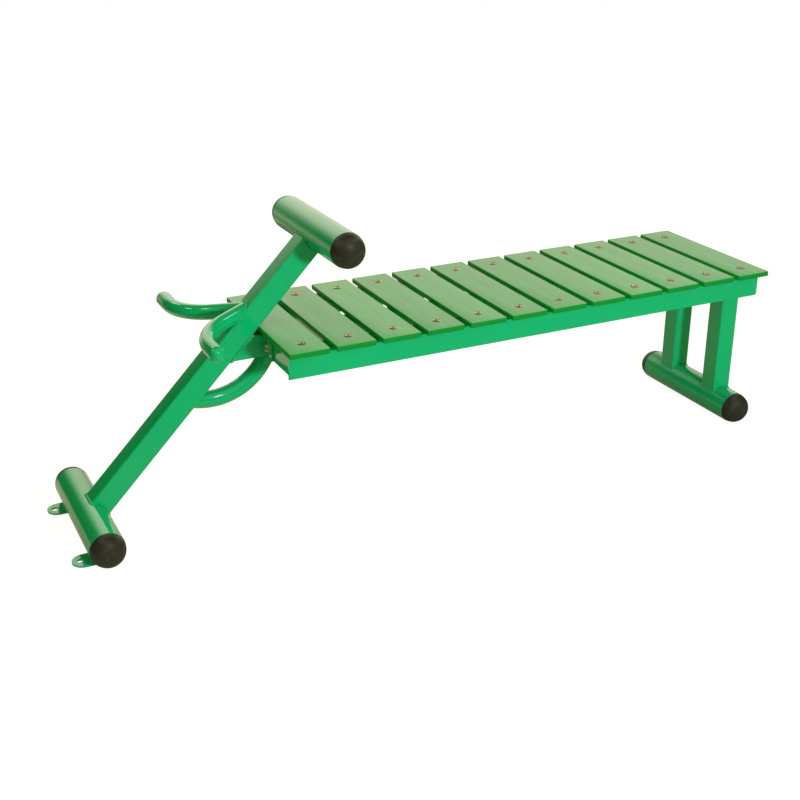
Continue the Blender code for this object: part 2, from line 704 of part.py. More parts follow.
def brace_tube(post_cut):
    """The bent tube under the link, open inside, cut to the post and the crossmember."""
    side = Vector((0, 1, 0))
    path = brace_path()
    radius = BRACE_DIAMETER / 2
    brace = add_object("brace_tube", mesh_from("brace_tube", swept(path, side, radius, PIPE_SIDES)))
    longer = [path[0] - (path[1] - path[0])] + path + [path[-1] + (path[-1] - path[-2])]
    bore = swept(longer, side, radius - BRACE_WALL, PIPE_SIDES)
    cut(brace, cutter("brace_bore", mesh_from("brace_bore", bore)))
    cut(brace, post_cut)
    low = (path[-1].x - 2 * BRACE_BEND_RADIUS, -BRACE_DIAMETER, RAIL_BOTTOM - GAP)
    high = (path[-1].x + BRACE_DIAMETER, BRACE_DIAMETER, SEAT_HEIGHT)
    cut(brace, cutter("above_brace", mesh_from("above_brace", box_between(low, high))))
    return finish_part(brace, "green_steel")


def handle_path(side):
    """Axis of one handle: a straight splayed off the post, a bend, and a grip across."""
    centre_out = HANDLE_REACH - HANDLE_BEND_RADIUS
    root_y = HANDLE_ROOT_SPACING / 2
    splay = HANDLE_SPLAY
    straight = (centre_out + HANDLE_BEND_RADIUS * math.sin(splay)) / math.cos(splay)
    centre_y = root_y + straight * math.sin(splay) + HANDLE_BEND_RADIUS * math.cos(splay)
    buried = HANDLE_DIAMETER
    points = [(-buried * math.cos(splay), root_y - buried * math.sin(splay))]
    for step in range(BEND_STEPS + 1):
        turn = splay + (math.pi / 2 - splay) * step / BEND_STEPS
        points.append((centre_out + HANDLE_BEND_RADIUS * math.sin(turn),
                       centre_y - HANDLE_BEND_RADIUS * math.cos(turn)))
    points.append((HANDLE_REACH, HANDLE_SPAN / 2))
    root = Vector((post_front_x(HANDLE_HEIGHT), 0, HANDLE_HEIGHT))
    outward = Vector((-math.cos(HANDLE_DROOP), 0, -math.sin(HANDLE_DROOP)))
    return [root + outward * out + Vector((0, side * y, 0)) for out, y in points]


def handle(name, side, post_cut):
    """A bent pipe with a round closed end, mitred to its neighbour and cut to the post."""
    up = Vector((-math.sin(HANDLE_DROOP), 0, math.cos(HANDLE_DROOP)))
    path = handle_path(side)
    radius = HANDLE_DIAMETER / 2
    thing = add_object(name, mesh_from(name, swept(path, up, radius, PIPE_SIDES, dome=True)))
    longer = [path[0] - (path[1] - path[0])] + path[1:]
    bore = swept(longer, up, radius - HANDLE_WALL, PIPE_SIDES, dome=True)
    cut(thing, cutter(name + "_bore", mesh_from(name + "_bore", bore)))
    cut(thing, post_cut)
    depth = HANDLE_DIAMETER + OVERRUN
    far = -side * (HANDLE_SPAN / 2 + OVERRUN)
    near = side * GAP / 2
    low = (path[-1].x - OVERRUN, min(near, far), HANDLE_HEIGHT - depth)
    high = (path[0].x + SQUARE_WIDTH, max(near, far), HANDLE_HEIGHT + depth)
    other_half = mesh_from(name + "_mitre", box_between(low, high))
    cut(thing, cutter(name + "_mitre", other_half))
    return finish_part(thing, "green_steel")


def build_bench():
    """Builds every node of the bench."""
    clear_scene()
    origin = bpy.data.objects.new("bench_origin", None)
    bpy.context.scene.collection.objects.link(origin)
    origin.location = (-BENCH_MIDDLE_X, 0, 0)

    capped_tube("front_foot_tube", "front_foot_cap", FRONT_FOOT_X, FOOT_HEIGHT)
    capped_tube("leg_bar_tube", "leg_bar_cap", LEG_BAR_X, LEG_BAR_HEIGHT)
    capped_tube("rear_foot_tube", "rear_foot_cap", REAR_FOOT_X, FOOT_HEIGHT)
    front_foot_space = round_tube_cutter("front_foot_space", FRONT_FOOT_X, FOOT_HEIGHT)
    bar_space = round_tube_cutter("leg_bar_space", LEG_BAR_X, LEG_BAR_HEIGHT)
    rear_foot_space = round_tube_cutter("rear_foot_space", REAR_FOOT_X, FOOT_HEIGHT)
    post_cut = post_space()
    flange_holes = flange_hole_cutter()

    front_post(front_foot_space, bar_space)
    link_tube(post_cut, flange_holes)
    brace_tube(post_cut)
    front_crossmember(flange_holes)
    under_frame()
    slats()
    for side_name, side, place in zip(("left", "right"), (-1, 1), flange_bolt_places()):
        flange_bolt("flange_bolt_" + side_name, place)
        side_rail("rail_" + side_name, side)
        slat_bolts(side_name, side)
        rear_leg("rear_leg_" + side_name, side, rear_foot_space)
        anchor_lug("anchor_lug_" + side_name, side)
        handle("handle_" + side_name, side, post_cut)


build_bench()
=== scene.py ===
"""Looks of the outdoor fitness bench.

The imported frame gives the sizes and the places. Each sub-assembly is a class that lays finer
pieces over the frame's nodes and gives them their finish. Metres, +Z up, +X from the anchor lugs
toward the rear legs, and the left side is -Y.
"""
import logging
import math
from dataclasses import dataclass
from enum import Enum
from typing import Any, Sequence

import bmesh
import bpy
from mathutils import Matrix, Vector


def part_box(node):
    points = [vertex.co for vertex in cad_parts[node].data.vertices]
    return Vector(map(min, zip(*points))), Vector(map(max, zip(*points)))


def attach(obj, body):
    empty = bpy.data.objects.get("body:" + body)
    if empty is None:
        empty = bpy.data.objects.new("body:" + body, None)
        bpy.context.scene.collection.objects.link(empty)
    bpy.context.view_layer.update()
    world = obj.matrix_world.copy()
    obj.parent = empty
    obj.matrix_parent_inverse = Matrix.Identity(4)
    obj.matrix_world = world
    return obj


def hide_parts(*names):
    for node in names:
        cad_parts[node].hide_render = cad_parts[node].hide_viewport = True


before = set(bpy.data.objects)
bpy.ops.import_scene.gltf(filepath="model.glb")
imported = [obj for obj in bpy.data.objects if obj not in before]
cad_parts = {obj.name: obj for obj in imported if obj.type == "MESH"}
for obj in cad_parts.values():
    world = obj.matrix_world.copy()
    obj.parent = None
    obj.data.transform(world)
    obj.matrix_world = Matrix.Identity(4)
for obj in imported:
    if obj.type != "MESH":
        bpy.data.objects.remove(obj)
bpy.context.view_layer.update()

LOG = logging.getLogger("bench")
BODY = "root"           # the frame's only body: nothing on the bench moves
GAP = 0.0003            # clearance between pieces that seat on each other
MM = 0.001
SMOOTH_ANGLE = math.radians(40)
SIDES = {"left": -1, "right": 1}


def linear(hex_colour: str) -> tuple[float, float, float, float]:
    """Turns an sRGB hex colour to linear.

    Args:
        hex_colour: Six hex digits after a hash sign.

    Returns:
        Red, green, blue and a full alpha.
    """
    parts = [int(hex_colour[start:start + 2], 16) / 255 for start in (1, 3, 5)]
    red, green, blue = [value / 12.92 if value <= 0.04045 else ((value + 0.055) / 1.055) ** 2.4
                        for value in parts]
    return red, green, blue, 1.0


def wire(node: bpy.types.Node, inputs: dict[Any, Any]) -> None:
    """Sets and links a node's inputs.

    Args:
        node: Node that takes them.
        inputs: A value or an output socket for each input, by its name or number.
    """
    for key, value in inputs.items():
        if isinstance(value, bpy.types.NodeSocket):
            node.id_data.links.new(value, node.inputs[key])
        else:
            node.inputs[key].default_value = value


def add_node(tree: bpy.types.NodeTree, kind: str, settings: dict[str, Any] | None = None,
             inputs: dict[Any, Any] | None = None) -> bpy.types.Node:
    """Adds a node with its settings, values and links.

    Args:
        tree: Tree that takes the node.
        kind: Blender's name for the node's type.
        settings: Attributes of the node.
        inputs: A value or an output socket for each input, by its name or number.

    Returns:
        The new node.
    """
    node = tree.nodes.new(kind)
    for name, value in (settings or {}).items():
        setattr(node, name, value)
    wire(node, inputs or {})
    return node


def start_finish(name: str) -> tuple[bpy.types.Material, bpy.types.NodeTree, bpy.types.Node,
                                     bpy.types.NodeSocket]:
    """Starts the material of a finish.

    Args:
        name: Name of the material.

    Returns:
        The material, its tree, its shader and the place on the piece.
    """
    material = bpy.data.materials.new(name)
    material.use_nodes = True
    tree = material.node_tree
    place = add_node(tree, "ShaderNodeTexCoord").outputs["Object"]
    return material, tree, tree.nodes["Principled BSDF"], place


def emptied(holder: bpy.types.Material | bpy.types.World) -> bpy.types.NodeTree:
    """Turns on the nodes of a material or world and clears them.

    Args:
        holder: The material or world.

    Returns:
        Its empty tree.
    """
    holder.use_nodes = True
    holder.node_tree.nodes.clear()
    return holder.node_tree


class Finish(Enum):
    """The finishes on the bench, by the names of their materials."""

    COAT = "green_powder_coat"
    BEAD = "coated_weld_bead"
    BOARD = "green_stained_board"
    CAP = "black_moulded_cap"
    YELLOW_ZINC = "yellow_zinc_plate"
    BRIGHT_ZINC = "bright_zinc_plate"


@dataclass(frozen=True)
class PowderCoat:
    """Polyester powder coat, sprayed dry on welded steel and baked to a glossy film.

    The film flows out to a faint orange peel, which softens the edges of what it mirrors, and it
    draws back from sharp edges, where it looks a little paler.
    """

    name: str
    colour: str = "#0AB479"
    deep_colour: str = "#06AA6F"
    edge_colour: str = "#28C084"
    dust_colour: str = "#B9C9A0"
    ior: float = 1.5
    roughness: float = 0.1
    roughness_drift: tuple[float, float] = (-0.03, 0.04)
    film_weight: float = 0.5
    film_roughness: float = 0.05
    peel_mm: float = 2.2
    peel_lift_mm: float = 0.012
    cloud_mm: float = 140.0
    edge_mm: float = 1.2
    edge_lean: float = 0.8              # cosine of the lean at which the film is thinnest
    edge_share: float = 0.35
    dust_mm: float = 18.0
    dust_slope: float = 0.5             # upward part of the normal above which dust settles
    dust_share: float = 0.03

    def build(self) -> bpy.types.Material:
        """Makes the material.

        Returns:
            The material.
        """
        material, tree, shader, place = start_finish(self.name)
        face = add_node(tree, "ShaderNodeNewGeometry").outputs["Normal"]
        clouds = add_node(tree, "ShaderNodeTexNoise", inputs={
            "Vector": place, "Scale": 1 / (self.cloud_mm * MM), "Detail": 3.0})
        coat = add_node(tree, "ShaderNodeMix", {"data_type": "RGBA"}, {
            0: clouds.outputs["Fac"], 6: linear(self.deep_colour), 7: linear(self.colour)})

        # Thin film on edges, found from how far a rounded normal leans from the face
        rounded = add_node(tree, "ShaderNodeBevel", {"samples": 4}, {"Radius": self.edge_mm * MM})
        lean = add_node(tree, "ShaderNodeVectorMath", {"operation": "DOT_PRODUCT"}, {
            0: rounded.outputs["Normal"], 1: face})
        edge = add_node(tree, "ShaderNodeMapRange", inputs={
            "Value": lean.outputs["Value"], "From Min": 1.0, "From Max": self.edge_lean,
            "To Max": self.edge_share})
        worn = add_node(tree, "ShaderNodeMix", {"data_type": "RGBA"}, {
            0: edge.outputs[0], 6: coat.outputs[2], 7: linear(self.edge_colour)})

        # Dust that settles on faces that look up
        upward = add_node(tree, "ShaderNodeSeparateXYZ", inputs={0: face}).outputs["Z"]
        settled_dust = add_node(tree, "ShaderNodeMapRange", inputs={
            "Value": upward, "From Min": self.dust_slope, "To Max": self.dust_share})
        dust_noise = add_node(tree, "ShaderNodeTexNoise", inputs={
            "Vector": place, "Scale": 1 / (self.dust_mm * MM), "Detail": 6.0, "Roughness": 0.7})
        dust = add_node(tree, "ShaderNodeMath", {"operation": "MULTIPLY"}, {
            0: settled_dust.outputs[0], 1: dust_noise.outputs["Fac"]})
        dusted = add_node(tree, "ShaderNodeMix", {"data_type": "RGBA"}, {
            0: dust.outputs[0], 6: worn.outputs[2], 7: linear(self.dust_colour)})

        peel = add_node(tree, "ShaderNodeTexNoise", inputs={
            "Vector": place, "Scale": 1 / (self.peel_mm * MM), "Detail": 1.0})
        bump = add_node(tree, "ShaderNodeBump", inputs={
            "Strength": 1.0, "Distance": self.peel_lift_mm * MM, "Height": peel.outputs["Fac"],
            "Normal": rounded.outputs["Normal"]})
        gloss = add_node(tree, "ShaderNodeMapRange", inputs={
            "Value": dust_noise.outputs["Fac"], "To Min": self.roughness + self.roughness_drift[0],
            "To Max": self.roughness + self.roughness_drift[1]})
        wire(shader, {"Base Color": dusted.outputs[2], "Normal": bump.outputs[0],
                      "Roughness": gloss.outputs[0], "IOR": self.ior,
                      "Coat Weight": self.film_weight, "Coat Roughness": self.film_roughness})
        return material


@dataclass(frozen=True)
class StainedBoard:
    """Planed softwood board under a satin green stain.

    The stain sits dark in the sawn ends and edges. The top is a pale sage, partly from bleaching of
    the stain and partly as a painted sheen of the bright surroundings, and its fine grain runs along
    the board.
    """

    name: str
    # The top's pale colour is partly painted sheen of the bright surroundings and partly bleaching of
    # the stain
    top_bleach_and_sheen_colour: str = "#6DC98A"
    grain_colour: str = "#5AB57C"
    edge_colour: str = "#089E3A"
    end_colour: str = "#0E8634"
    bare_colour: str = "#A79B7E"
    fibre_mm: float = 1.1
    fibre_length_mm: float = 45.0
    ring_width: float = 9.0             # of a growth ring, in fibres
    ring_length: float = 5.0
    ring_share: float = 0.55            # of the figure; the fibres have the rest
    contrast: tuple[float, float] = (0.36, 0.64)
    patch_mm: float = 55.0
    patch_reach: tuple[float, float] = (0.55, 0.75)
    patch_share: float = 0.3
    tone_range: tuple[float, float] = (0.93, 1.05)
    top_slope: tuple[float, float] = (0.55, 0.95)   # upward part of the normal, edge to top
    ior: float = 1.5
    sheen_range: tuple[float, float] = (0.12, 0.5)  # on the soaked edges and on the top
    varnish: float = 0.4
    varnish_roughness: float = 0.3
    roughness: float = 0.42
    roughness_drift: tuple[float, float] = (-0.05, 0.12)
    lift_mm: float = 0.06

    def build(self) -> bpy.types.Material:
        """Makes the material.

        Returns:
            The material.
        """
        material, tree, shader, place = start_finish(self.name)
        across = 1 / (self.fibre_mm * MM)
        along = 1 / (self.fibre_length_mm * MM)
        stretched = add_node(tree, "ShaderNodeMapping", {"vector_type": "POINT"}, {
            "Vector": place, "Scale": (across, along, across)})
        fibres = add_node(tree, "ShaderNodeTexNoise", inputs={
            "Vector": stretched.outputs[0], "Scale": 1.0, "Detail": 4.0, "Roughness": 0.65,
            "Distortion": 0.4})
        figure = add_node(tree, "ShaderNodeMapping", {"vector_type": "POINT"}, {
            "Vector": place, "Scale": (across / self.ring_width, along / self.ring_length,
                                       across / self.ring_width)})
        rings = add_node(tree, "ShaderNodeTexNoise", inputs={
            "Vector": figure.outputs[0], "Scale": 1.0, "Detail": 2.0, "Distortion": 1.2})
        fibre_part = add_node(tree, "ShaderNodeMath", {"operation": "MULTIPLY"}, {
            0: fibres.outputs["Fac"], 1: 1 - self.ring_share})
        grain = add_node(tree, "ShaderNodeMath", {"operation": "MULTIPLY_ADD"}, {
            0: rings.outputs["Fac"], 1: self.ring_share, 2: fibre_part.outputs[0]})
        figured = add_node(tree, "ShaderNodeMapRange", inputs={
            "Value": grain.outputs[0], "From Min": self.contrast[0], "From Max": self.contrast[1]})
        top = add_node(tree, "ShaderNodeMix", {"data_type": "RGBA"}, {
            0: figured.outputs[0], 6: linear(self.grain_colour), 7: linear(self.top_bleach_and_sheen_colour)})

        # Rubbed patches where the timber shows through
        patches = add_node(tree, "ShaderNodeTexNoise", inputs={
            "Vector": place, "Scale": 1 / (self.patch_mm * MM), "Detail": 5.0, "Roughness": 0.6})
        rubbed = add_node(tree, "ShaderNodeMapRange", inputs={
            "Value": patches.outputs["Fac"], "From Min": self.patch_reach[0],
            "From Max": self.patch_reach[1], "To Max": self.patch_share})
        weathered = add_node(tree, "ShaderNodeMix", {"data_type": "RGBA"}, {
            0: rubbed.outputs[0], 6: top.outputs[2], 7: linear(self.bare_colour)})

        # Each board takes the stain a little differently
        tone = add_node(tree, "ShaderNodeAttribute", {"attribute_name": "tone"}).outputs["Fac"]
        value = add_node(tree, "ShaderNodeMapRange", inputs={
            "Value": tone, "To Min": self.tone_range[0], "To Max": self.tone_range[1]})
        toned = add_node(tree, "ShaderNodeHueSaturation", inputs={
            "Color": weathered.outputs[2], "Value": value.outputs[0]})

        # Sawn ends and edges soak the stain up, and stay dark and dull; beside them the top is
        # painted paler, partly as painted sheen
        face = add_node(tree, "ShaderNodeNewGeometry").outputs["Normal"]
        facing = add_node(tree, "ShaderNodeSeparateXYZ", inputs={0: face}).outputs
        # Painted sheen: faces that look up take the pale top colour, partly for bleaching and partly
        # standing for the sheen of the bright surroundings
        top_bleach_and_sheen = add_node(tree, "ShaderNodeMapRange", inputs={
            "Value": facing["Z"], "From Min": self.top_slope[0], "From Max": self.top_slope[1]})
        endwise = add_node(tree, "ShaderNodeMath", {"operation": "ABSOLUTE"}, {0: facing["Y"]})
        sawn = add_node(tree, "ShaderNodeMix", {"data_type": "RGBA"}, {
            0: endwise.outputs[0], 6: linear(self.edge_colour), 7: linear(self.end_colour)})
        stain = add_node(tree, "ShaderNodeMix", {"data_type": "RGBA"}, {
            0: top_bleach_and_sheen.outputs[0], 6: sawn.outputs[2], 7: toned.outputs[0]})
        sheen = add_node(tree, "ShaderNodeMapRange", inputs={
            "Value": top_bleach_and_sheen.outputs[0], "To Min": self.sheen_range[0],
            "To Max": self.sheen_range[1]})
        varnish = add_node(tree, "ShaderNodeMapRange", inputs={
            "Value": top_bleach_and_sheen.outputs[0], "To Max": self.varnish})

        bump = add_node(tree, "ShaderNodeBump", inputs={
            "Strength": 1.0, "Distance": self.lift_mm * MM, "Height": fibres.outputs["Fac"]})
        gloss = add_node(tree, "ShaderNodeMapRange", inputs={
            "Value": grain.outputs[0], "To Min": self.roughness + self.roughness_drift[0],
            "To Max": self.roughness + self.roughness_drift[1]})
        wire(shader, {"Base Color": stain.outputs[2], "Normal": bump.outputs[0],
                      "Roughness": gloss.outputs[0], "Specular IOR Level": sheen.outputs[0],
                      "Coat Weight": varnish.outputs[0], "IOR": self.ior,
                      "Coat Roughness": self.varnish_roughness})
        return material


@dataclass(frozen=True)
class MouldedPlastic:
    """Black polyethylene, moulded in a lightly etched tool: a warm black with a broad soft shine.

    The etch is drawn coarser than the real one of about 0.3 mm, which wouldn't show.
    """

    name: str
    colour: str = "#292B24"
    scuff_colour: str = "#50514A"
    ior: float = 1.5
    roughness: float = 0.4
    roughness_drift: tuple[float, float] = (-0.05, 0.1)
    etch_mm: float = 0.9
    etch_lift_mm: float = 0.015
    scuff_mm: float = 12.0
    scuff_reach: tuple[float, float] = (0.5, 0.8)
    scuff_share: float = 0.6

    def build(self) -> bpy.types.Material:
        """Makes the material.

        Returns:
            The material.
        """
        material, tree, shader, place = start_finish(self.name)
        scuffs = add_node(tree, "ShaderNodeTexNoise", inputs={
            "Vector": place, "Scale": 1 / (self.scuff_mm * MM), "Detail": 8.0, "Roughness": 0.75})
        rubbed = add_node(tree, "ShaderNodeMapRange", inputs={
            "Value": scuffs.outputs["Fac"], "From Min": self.scuff_reach[0],
            "From Max": self.scuff_reach[1], "To Max": self.scuff_share})
        black = add_node(tree, "ShaderNodeMix", {"data_type": "RGBA"}, {
            0: rubbed.outputs[0], 6: linear(self.colour), 7: linear(self.scuff_colour)})
        etch = add_node(tree, "ShaderNodeTexNoise", inputs={
            "Vector": place, "Scale": 1 / (self.etch_mm * MM), "Detail": 2.0})
        bump = add_node(tree, "ShaderNodeBump", inputs={
            "Strength": 1.0, "Distance": self.etch_lift_mm * MM, "Height": etch.outputs["Fac"]})
        gloss = add_node(tree, "ShaderNodeMapRange", inputs={
            "Value": scuffs.outputs["Fac"], "To Min": self.roughness + self.roughness_drift[0],
            "To Max": self.roughness + self.roughness_drift[1]})
        wire(shader, {"Base Color": black.outputs[2], "Normal": bump.outputs[0],
                      "Roughness": gloss.outputs[0], "IOR": self.ior})
        return material


@dataclass(frozen=True)
class ZincPlate:
    """Electroplated zinc on steel, passivated: a satin metal whose tint drifts over a few mm."""

    name: str
    colour: str
    tint: str
    roughness: float = 0.32
    roughness_drift: tuple[float, float] = (-0.08, 0.1)
    drift_mm: float = 4.0

    def build(self) -> bpy.types.Material:
        """Makes the material.

        Returns:
            The material.
        """
        material, tree, shader, place = start_finish(self.name)
        drift = add_node(tree, "ShaderNodeTexNoise", inputs={
            "Vector": place, "Scale": 1 / (self.drift_mm * MM), "Detail": 3.0})
        metal = add_node(tree, "ShaderNodeMix", {"data_type": "RGBA"}, {
            0: drift.outputs["Fac"], 6: linear(self.colour), 7: linear(self.tint)})
        gloss = add_node(tree, "ShaderNodeMapRange", inputs={
            "Value": drift.outputs["Fac"], "To Min": self.roughness + self.roughness_drift[0],
            "To Max": self.roughness + self.roughness_drift[1]})
        wire(shader, {"Base Color": metal.outputs[2], "Roughness": gloss.outputs[0],
                      "Metallic": 1.0})
        return material


class FinishShelf:
    """The bench's materials, each made once."""

    def __init__(self) -> None:
        """Makes every finish."""
        recipes = (
            PowderCoat(Finish.COAT.value),
            PowderCoat(Finish.BEAD.value, roughness=0.08, peel_mm=1.2, peel_lift_mm=0.04),
            StainedBoard(Finish.BOARD.value),
            MouldedPlastic(Finish.CAP.value),
            ZincPlate(Finish.YELLOW_ZINC.value, "#F6C68A", "#DA9650"),
            ZincPlate(Finish.BRIGHT_ZINC.value, "#F0E8D4", "#D2BE98"),
        )
        self.materials = {recipe.name: recipe.build() for recipe in recipes}

    def take(self, finish: Finish) -> bpy.types.Material:
        """Gives a finish's material."""
        return self.materials[finish.value]


def make_object(name: str, mesh: bpy.types.Mesh) -> bpy.types.Object:
    """Links a mesh to the scene as an object at the origin.

    Args:
        name: Name of the object.
        mesh: Its mesh.

    Returns:
        The object.
    """
    thing = bpy.data.objects.new(name, mesh)
    bpy.context.scene.collection.objects.link(thing)
    return thing


def worked_in(thing: bpy.types.Object) -> bpy.types.Mesh:
    """Works an object's modifiers into a new mesh.

    Args:
        thing: Object with modifiers, which stays as it is.

    Returns:
        The plain mesh.
    """
    bpy.context.view_layer.update()
    graph = bpy.context.evaluated_depsgraph_get()
    return bpy.data.meshes.new_from_object(thing.evaluated_get(graph), depsgraph=graph)


def settled(thing: bpy.types.Object) -> bpy.types.Mesh:
    """Works an object's modifiers into a plain mesh and removes the object.

    Args:
        thing: Object whose modifiers are worked in.

    Returns:
        The plain mesh.
    """
    mesh = worked_in(thing)
    bpy.data.objects.remove(thing)
    return mesh


def cut_out(thing: bpy.types.Object, tool: bpy.types.Object) -> None:
    """Cuts the space of a tool out of an object and removes the tool.

    Args:
        thing: Object that is cut.
        tool: Closed object that it is cut with.
    """
    modifier = thing.modifiers.new("cut", "BOOLEAN")
    modifier.object = tool
    modifier.solver = "EXACT"
    mesh = worked_in(thing)
    thing.modifiers.clear()
    thing.data = mesh
    bpy.data.objects.remove(tool)


def place_piece(name: str, mesh: bpy.types.Mesh, material: bpy.types.Material,
                nodes: Sequence[str], stands_for: bool = True) -> bpy.types.Object:
    """Adds a finished piece to the bench.

    Args:
        name: Name of the piece.
        mesh: Its mesh, in the frame's place.
        material: Its finish.
        nodes: Frame nodes that it belongs to.
        stands_for: True if it is shown in place of those nodes.

    Returns:
        The piece.
    """
    mesh.materials.clear()
    mesh.materials.append(material)
    piece = make_object(name, mesh)
    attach(piece, BODY)
    if stands_for:
        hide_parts(*nodes)
    LOG.info("%s: %d faces", name, len(mesh.polygons))
    return piece


def shaded(mesh: bpy.types.Mesh, angle: float = SMOOTH_ANGLE) -> bpy.types.Mesh:
    """Shades a mesh smooth, apart from its sharp edges.

    Args:
        mesh: Mesh to shade.
        angle: Edges sharper than this stay sharp.

    Returns:
        The same mesh.
    """
    mesh.shade_smooth()
    mesh.set_sharp_from_angle(angle=angle)
    return mesh


def skin(name: str, rows: Sequence[Sequence[Vector]], wrap: bool = False) -> bpy.types.Mesh:
    """Makes a closed mesh through rows of points.

    Args:
        name: Name of the mesh.
        rows: Rings of as many points each; a ring of one point is a tip.
        wrap: True if the last ring joins the first, as round a pipe's wall.

    Returns:
        The mesh, with its faces out.
    """
    shape = bmesh.new()
    made = [[shape.verts.new(point) for point in row] for row in rows]
    pairs = list(zip(made, made[1:]))
    if wrap:
        pairs.append((made[-1], made[0]))
    for low, high in pairs:
        for step in range(max(len(low), len(high))):
            corners = [low[step % len(low)], low[(step + 1) % len(low)],
                       high[(step + 1) % len(high)], high[step % len(high)]]
            shape.faces.new(list(dict.fromkeys(corners)))
    for row in () if wrap else (made[0], made[-1]):
        if len(row) > 1:
            shape.faces.new(row)
    bmesh.ops.recalc_face_normals(shape, faces=shape.faces)
    mesh = bpy.data.meshes.new(name)
    shape.to_mesh(mesh)
    shape.free()
    return shaded(mesh)


def ring(centre: Vector, first: Vector, second: Vector, radius: float,
         sides: int) -> list[Vector]:
    """Places points on a circle.

    Args:
        centre: Centre of the circle.
        first: Unit vector toward the first point.
        second: Unit vector square to it, toward which the points turn.
        radius: Radius of the circle.
        sides: Number of points.

    Returns:
        The points.
    """
    turns = [2 * math.pi * step / sides for step in range(sides)]
    return [centre + (first * math.cos(turn) + second * math.sin(turn)) * radius
            for turn in turns]


def quarter(steps: int) -> list[float]:
    """Angles from nothing to a right angle in even steps."""
    return [step / steps * math.pi / 2 for step in range(steps + 1)]


def turned(name: str, profile: Sequence[tuple[float, float]], centre: Vector, axis: Vector,
           sides: int) -> bpy.types.Mesh:
    """Turns a profile about an axis.

    Args:
        name: Name of the mesh.
        profile: Radius and height of each ring; a radius of nothing is a tip.
        centre: Where the heights start.
        axis: Unit vector that the heights run along.
        sides: Points of each ring.

    Returns:
        The mesh.
    """
    first = axis.orthogonal().normalized()
    second = axis.cross(first)
    rows = [ring(centre + axis * height, first, second, radius, sides) if radius > 0
            else [centre + axis * height] for radius, height in profile]
    return skin(name, rows)


def bar_along(name: str, path: Sequence[Vector], side: Vector, radius: float, sides: int = 40,
              dome_rings: int = 0) -> bpy.types.Mesh:
    """Makes a round bar along a flat path.

    Args:
        name: Name of the mesh.
        path: Points of its axis.
        side: Unit vector square to the path's plane.
        radius: Radius of the bar.
        sides: Points of each ring.
        dome_rings: Rings of a round closed end, or none for a flat one.

    Returns:
        The mesh.
    """
    rows = []
    for index, point in enumerate(path):
        heading = (path[min(index + 1, len(path) - 1)] - path[max(index - 1, 0)]).normalized()
        rows.append(ring(point, side, heading.cross(side), radius, sides))
    for step in range(1, dome_rings + 1):
        turn = step / dome_rings * math.pi / 2
        centre = path[-1] + heading * radius * math.sin(turn)
        rows.append([centre] if step == dome_rings else
                    ring(centre, side, heading.cross(side), radius * math.cos(turn), sides))
    return skin(name, rows)


def trimmed(mesh: bpy.types.Mesh, cuts: Sequence[tuple[Vector, Vector]]) -> bpy.types.Mesh:
    """Cuts a closed mesh with planes and closes it again.

    Args:
        mesh: Mesh to cut.
        cuts: A point and a normal for each plane; what lies on the normal's side goes.

    Returns:
        The same mesh.
    """
    shape = bmesh.new()
    shape.from_mesh(mesh)
    for point, normal in cuts:
        bmesh.ops.bisect_plane(shape, geom=[*shape.verts, *shape.edges, *shape.faces],
                               dist=GAP / 100, plane_co=point, plane_no=normal, clear_outer=True)
        bmesh.ops.holes_fill(shape, edges=[edge for edge in shape.edges if edge.is_boundary])
    bmesh.ops.recalc_face_normals(shape, faces=shape.faces)
    shape.to_mesh(mesh)
    shape.free()
    return shaded(mesh)


@dataclass(frozen=True)
class RoundTube:
    """Where a level round tube of the frame lies."""

    node: str

    @property
    def centre(self) -> Vector:
        """Middle of the tube."""
        low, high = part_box(self.node)
        return (low + high) / 2

    @property
    def radius(self) -> float:
        """Outer radius."""
        low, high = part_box(self.node)
        return (high.z - low.z) / 2

    @property
    def half_length(self) -> float:
        """From the middle to an end."""
        low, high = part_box(self.node)
        return (high.y - low.y) / 2

    def meet(self, point: Vector, heading: Vector) -> Vector:
        """Finds where a line first meets the tube's surface.

        Args:
            point: Point outside the tube.
            heading: Unit vector toward it.

        Returns:
            The first point on the surface.
        """
        flat = Vector((point.x - self.centre.x, point.z - self.centre.z))
        run = Vector((heading.x, heading.z))
        a, b = run.dot(run), flat.dot(run)
        c = flat.dot(flat) - self.radius ** 2
        return point + heading * ((-b - math.sqrt(b * b - a * c)) / a)


@dataclass(frozen=True)
class PostLine:
    """The sloping post's centre line and faces, from the foot's axis to the leg bar's."""

    foot: RoundTube
    bar: RoundTube
    width: float

    @property
    def heading(self) -> Vector:
        """Unit vector up the post."""
        return (self.bar.centre - self.foot.centre).normalized()

    @property
    def normal(self) -> Vector:
        """Unit vector out of the post's upper face."""
        return Vector((-self.heading.z, 0, self.heading.x))

    @property
    def upper(self) -> Vector:
        """A point on the upper face."""
        return self.foot.centre + self.normal * (self.width / 2 + GAP)

    @property
    def lower(self) -> Vector:
        """A point on the lower face."""
        return self.foot.centre - self.normal * (self.width / 2 + GAP)


def meet_plane(point: Vector, heading: Vector, on_plane: Vector, normal: Vector) -> Vector:
    """Where a line meets a plane."""
    return point + heading * ((on_plane - point).dot(normal) / heading.dot(normal))


def square_outline(width: float, radius: float, steps: int = 5) -> list[tuple[float, float]]:
    """Draws the outline of a square tube with round corners.

    Args:
        width: Across the flats.
        radius: Radius of the corners.
        steps: Steps in each corner.

    Returns:
        Pairs of distances from the centre, across and up.
    """
    inset = width / 2 - radius
    outline = []
    for quarter, (across, up) in enumerate(((1, 1), (-1, 1), (-1, -1), (1, -1))):
        for step in range(steps + 1):
            turn = (quarter + step / steps) * math.pi / 2
            outline.append((across * inset + radius * math.cos(turn),
                            up * inset + radius * math.sin(turn)))
    return outline


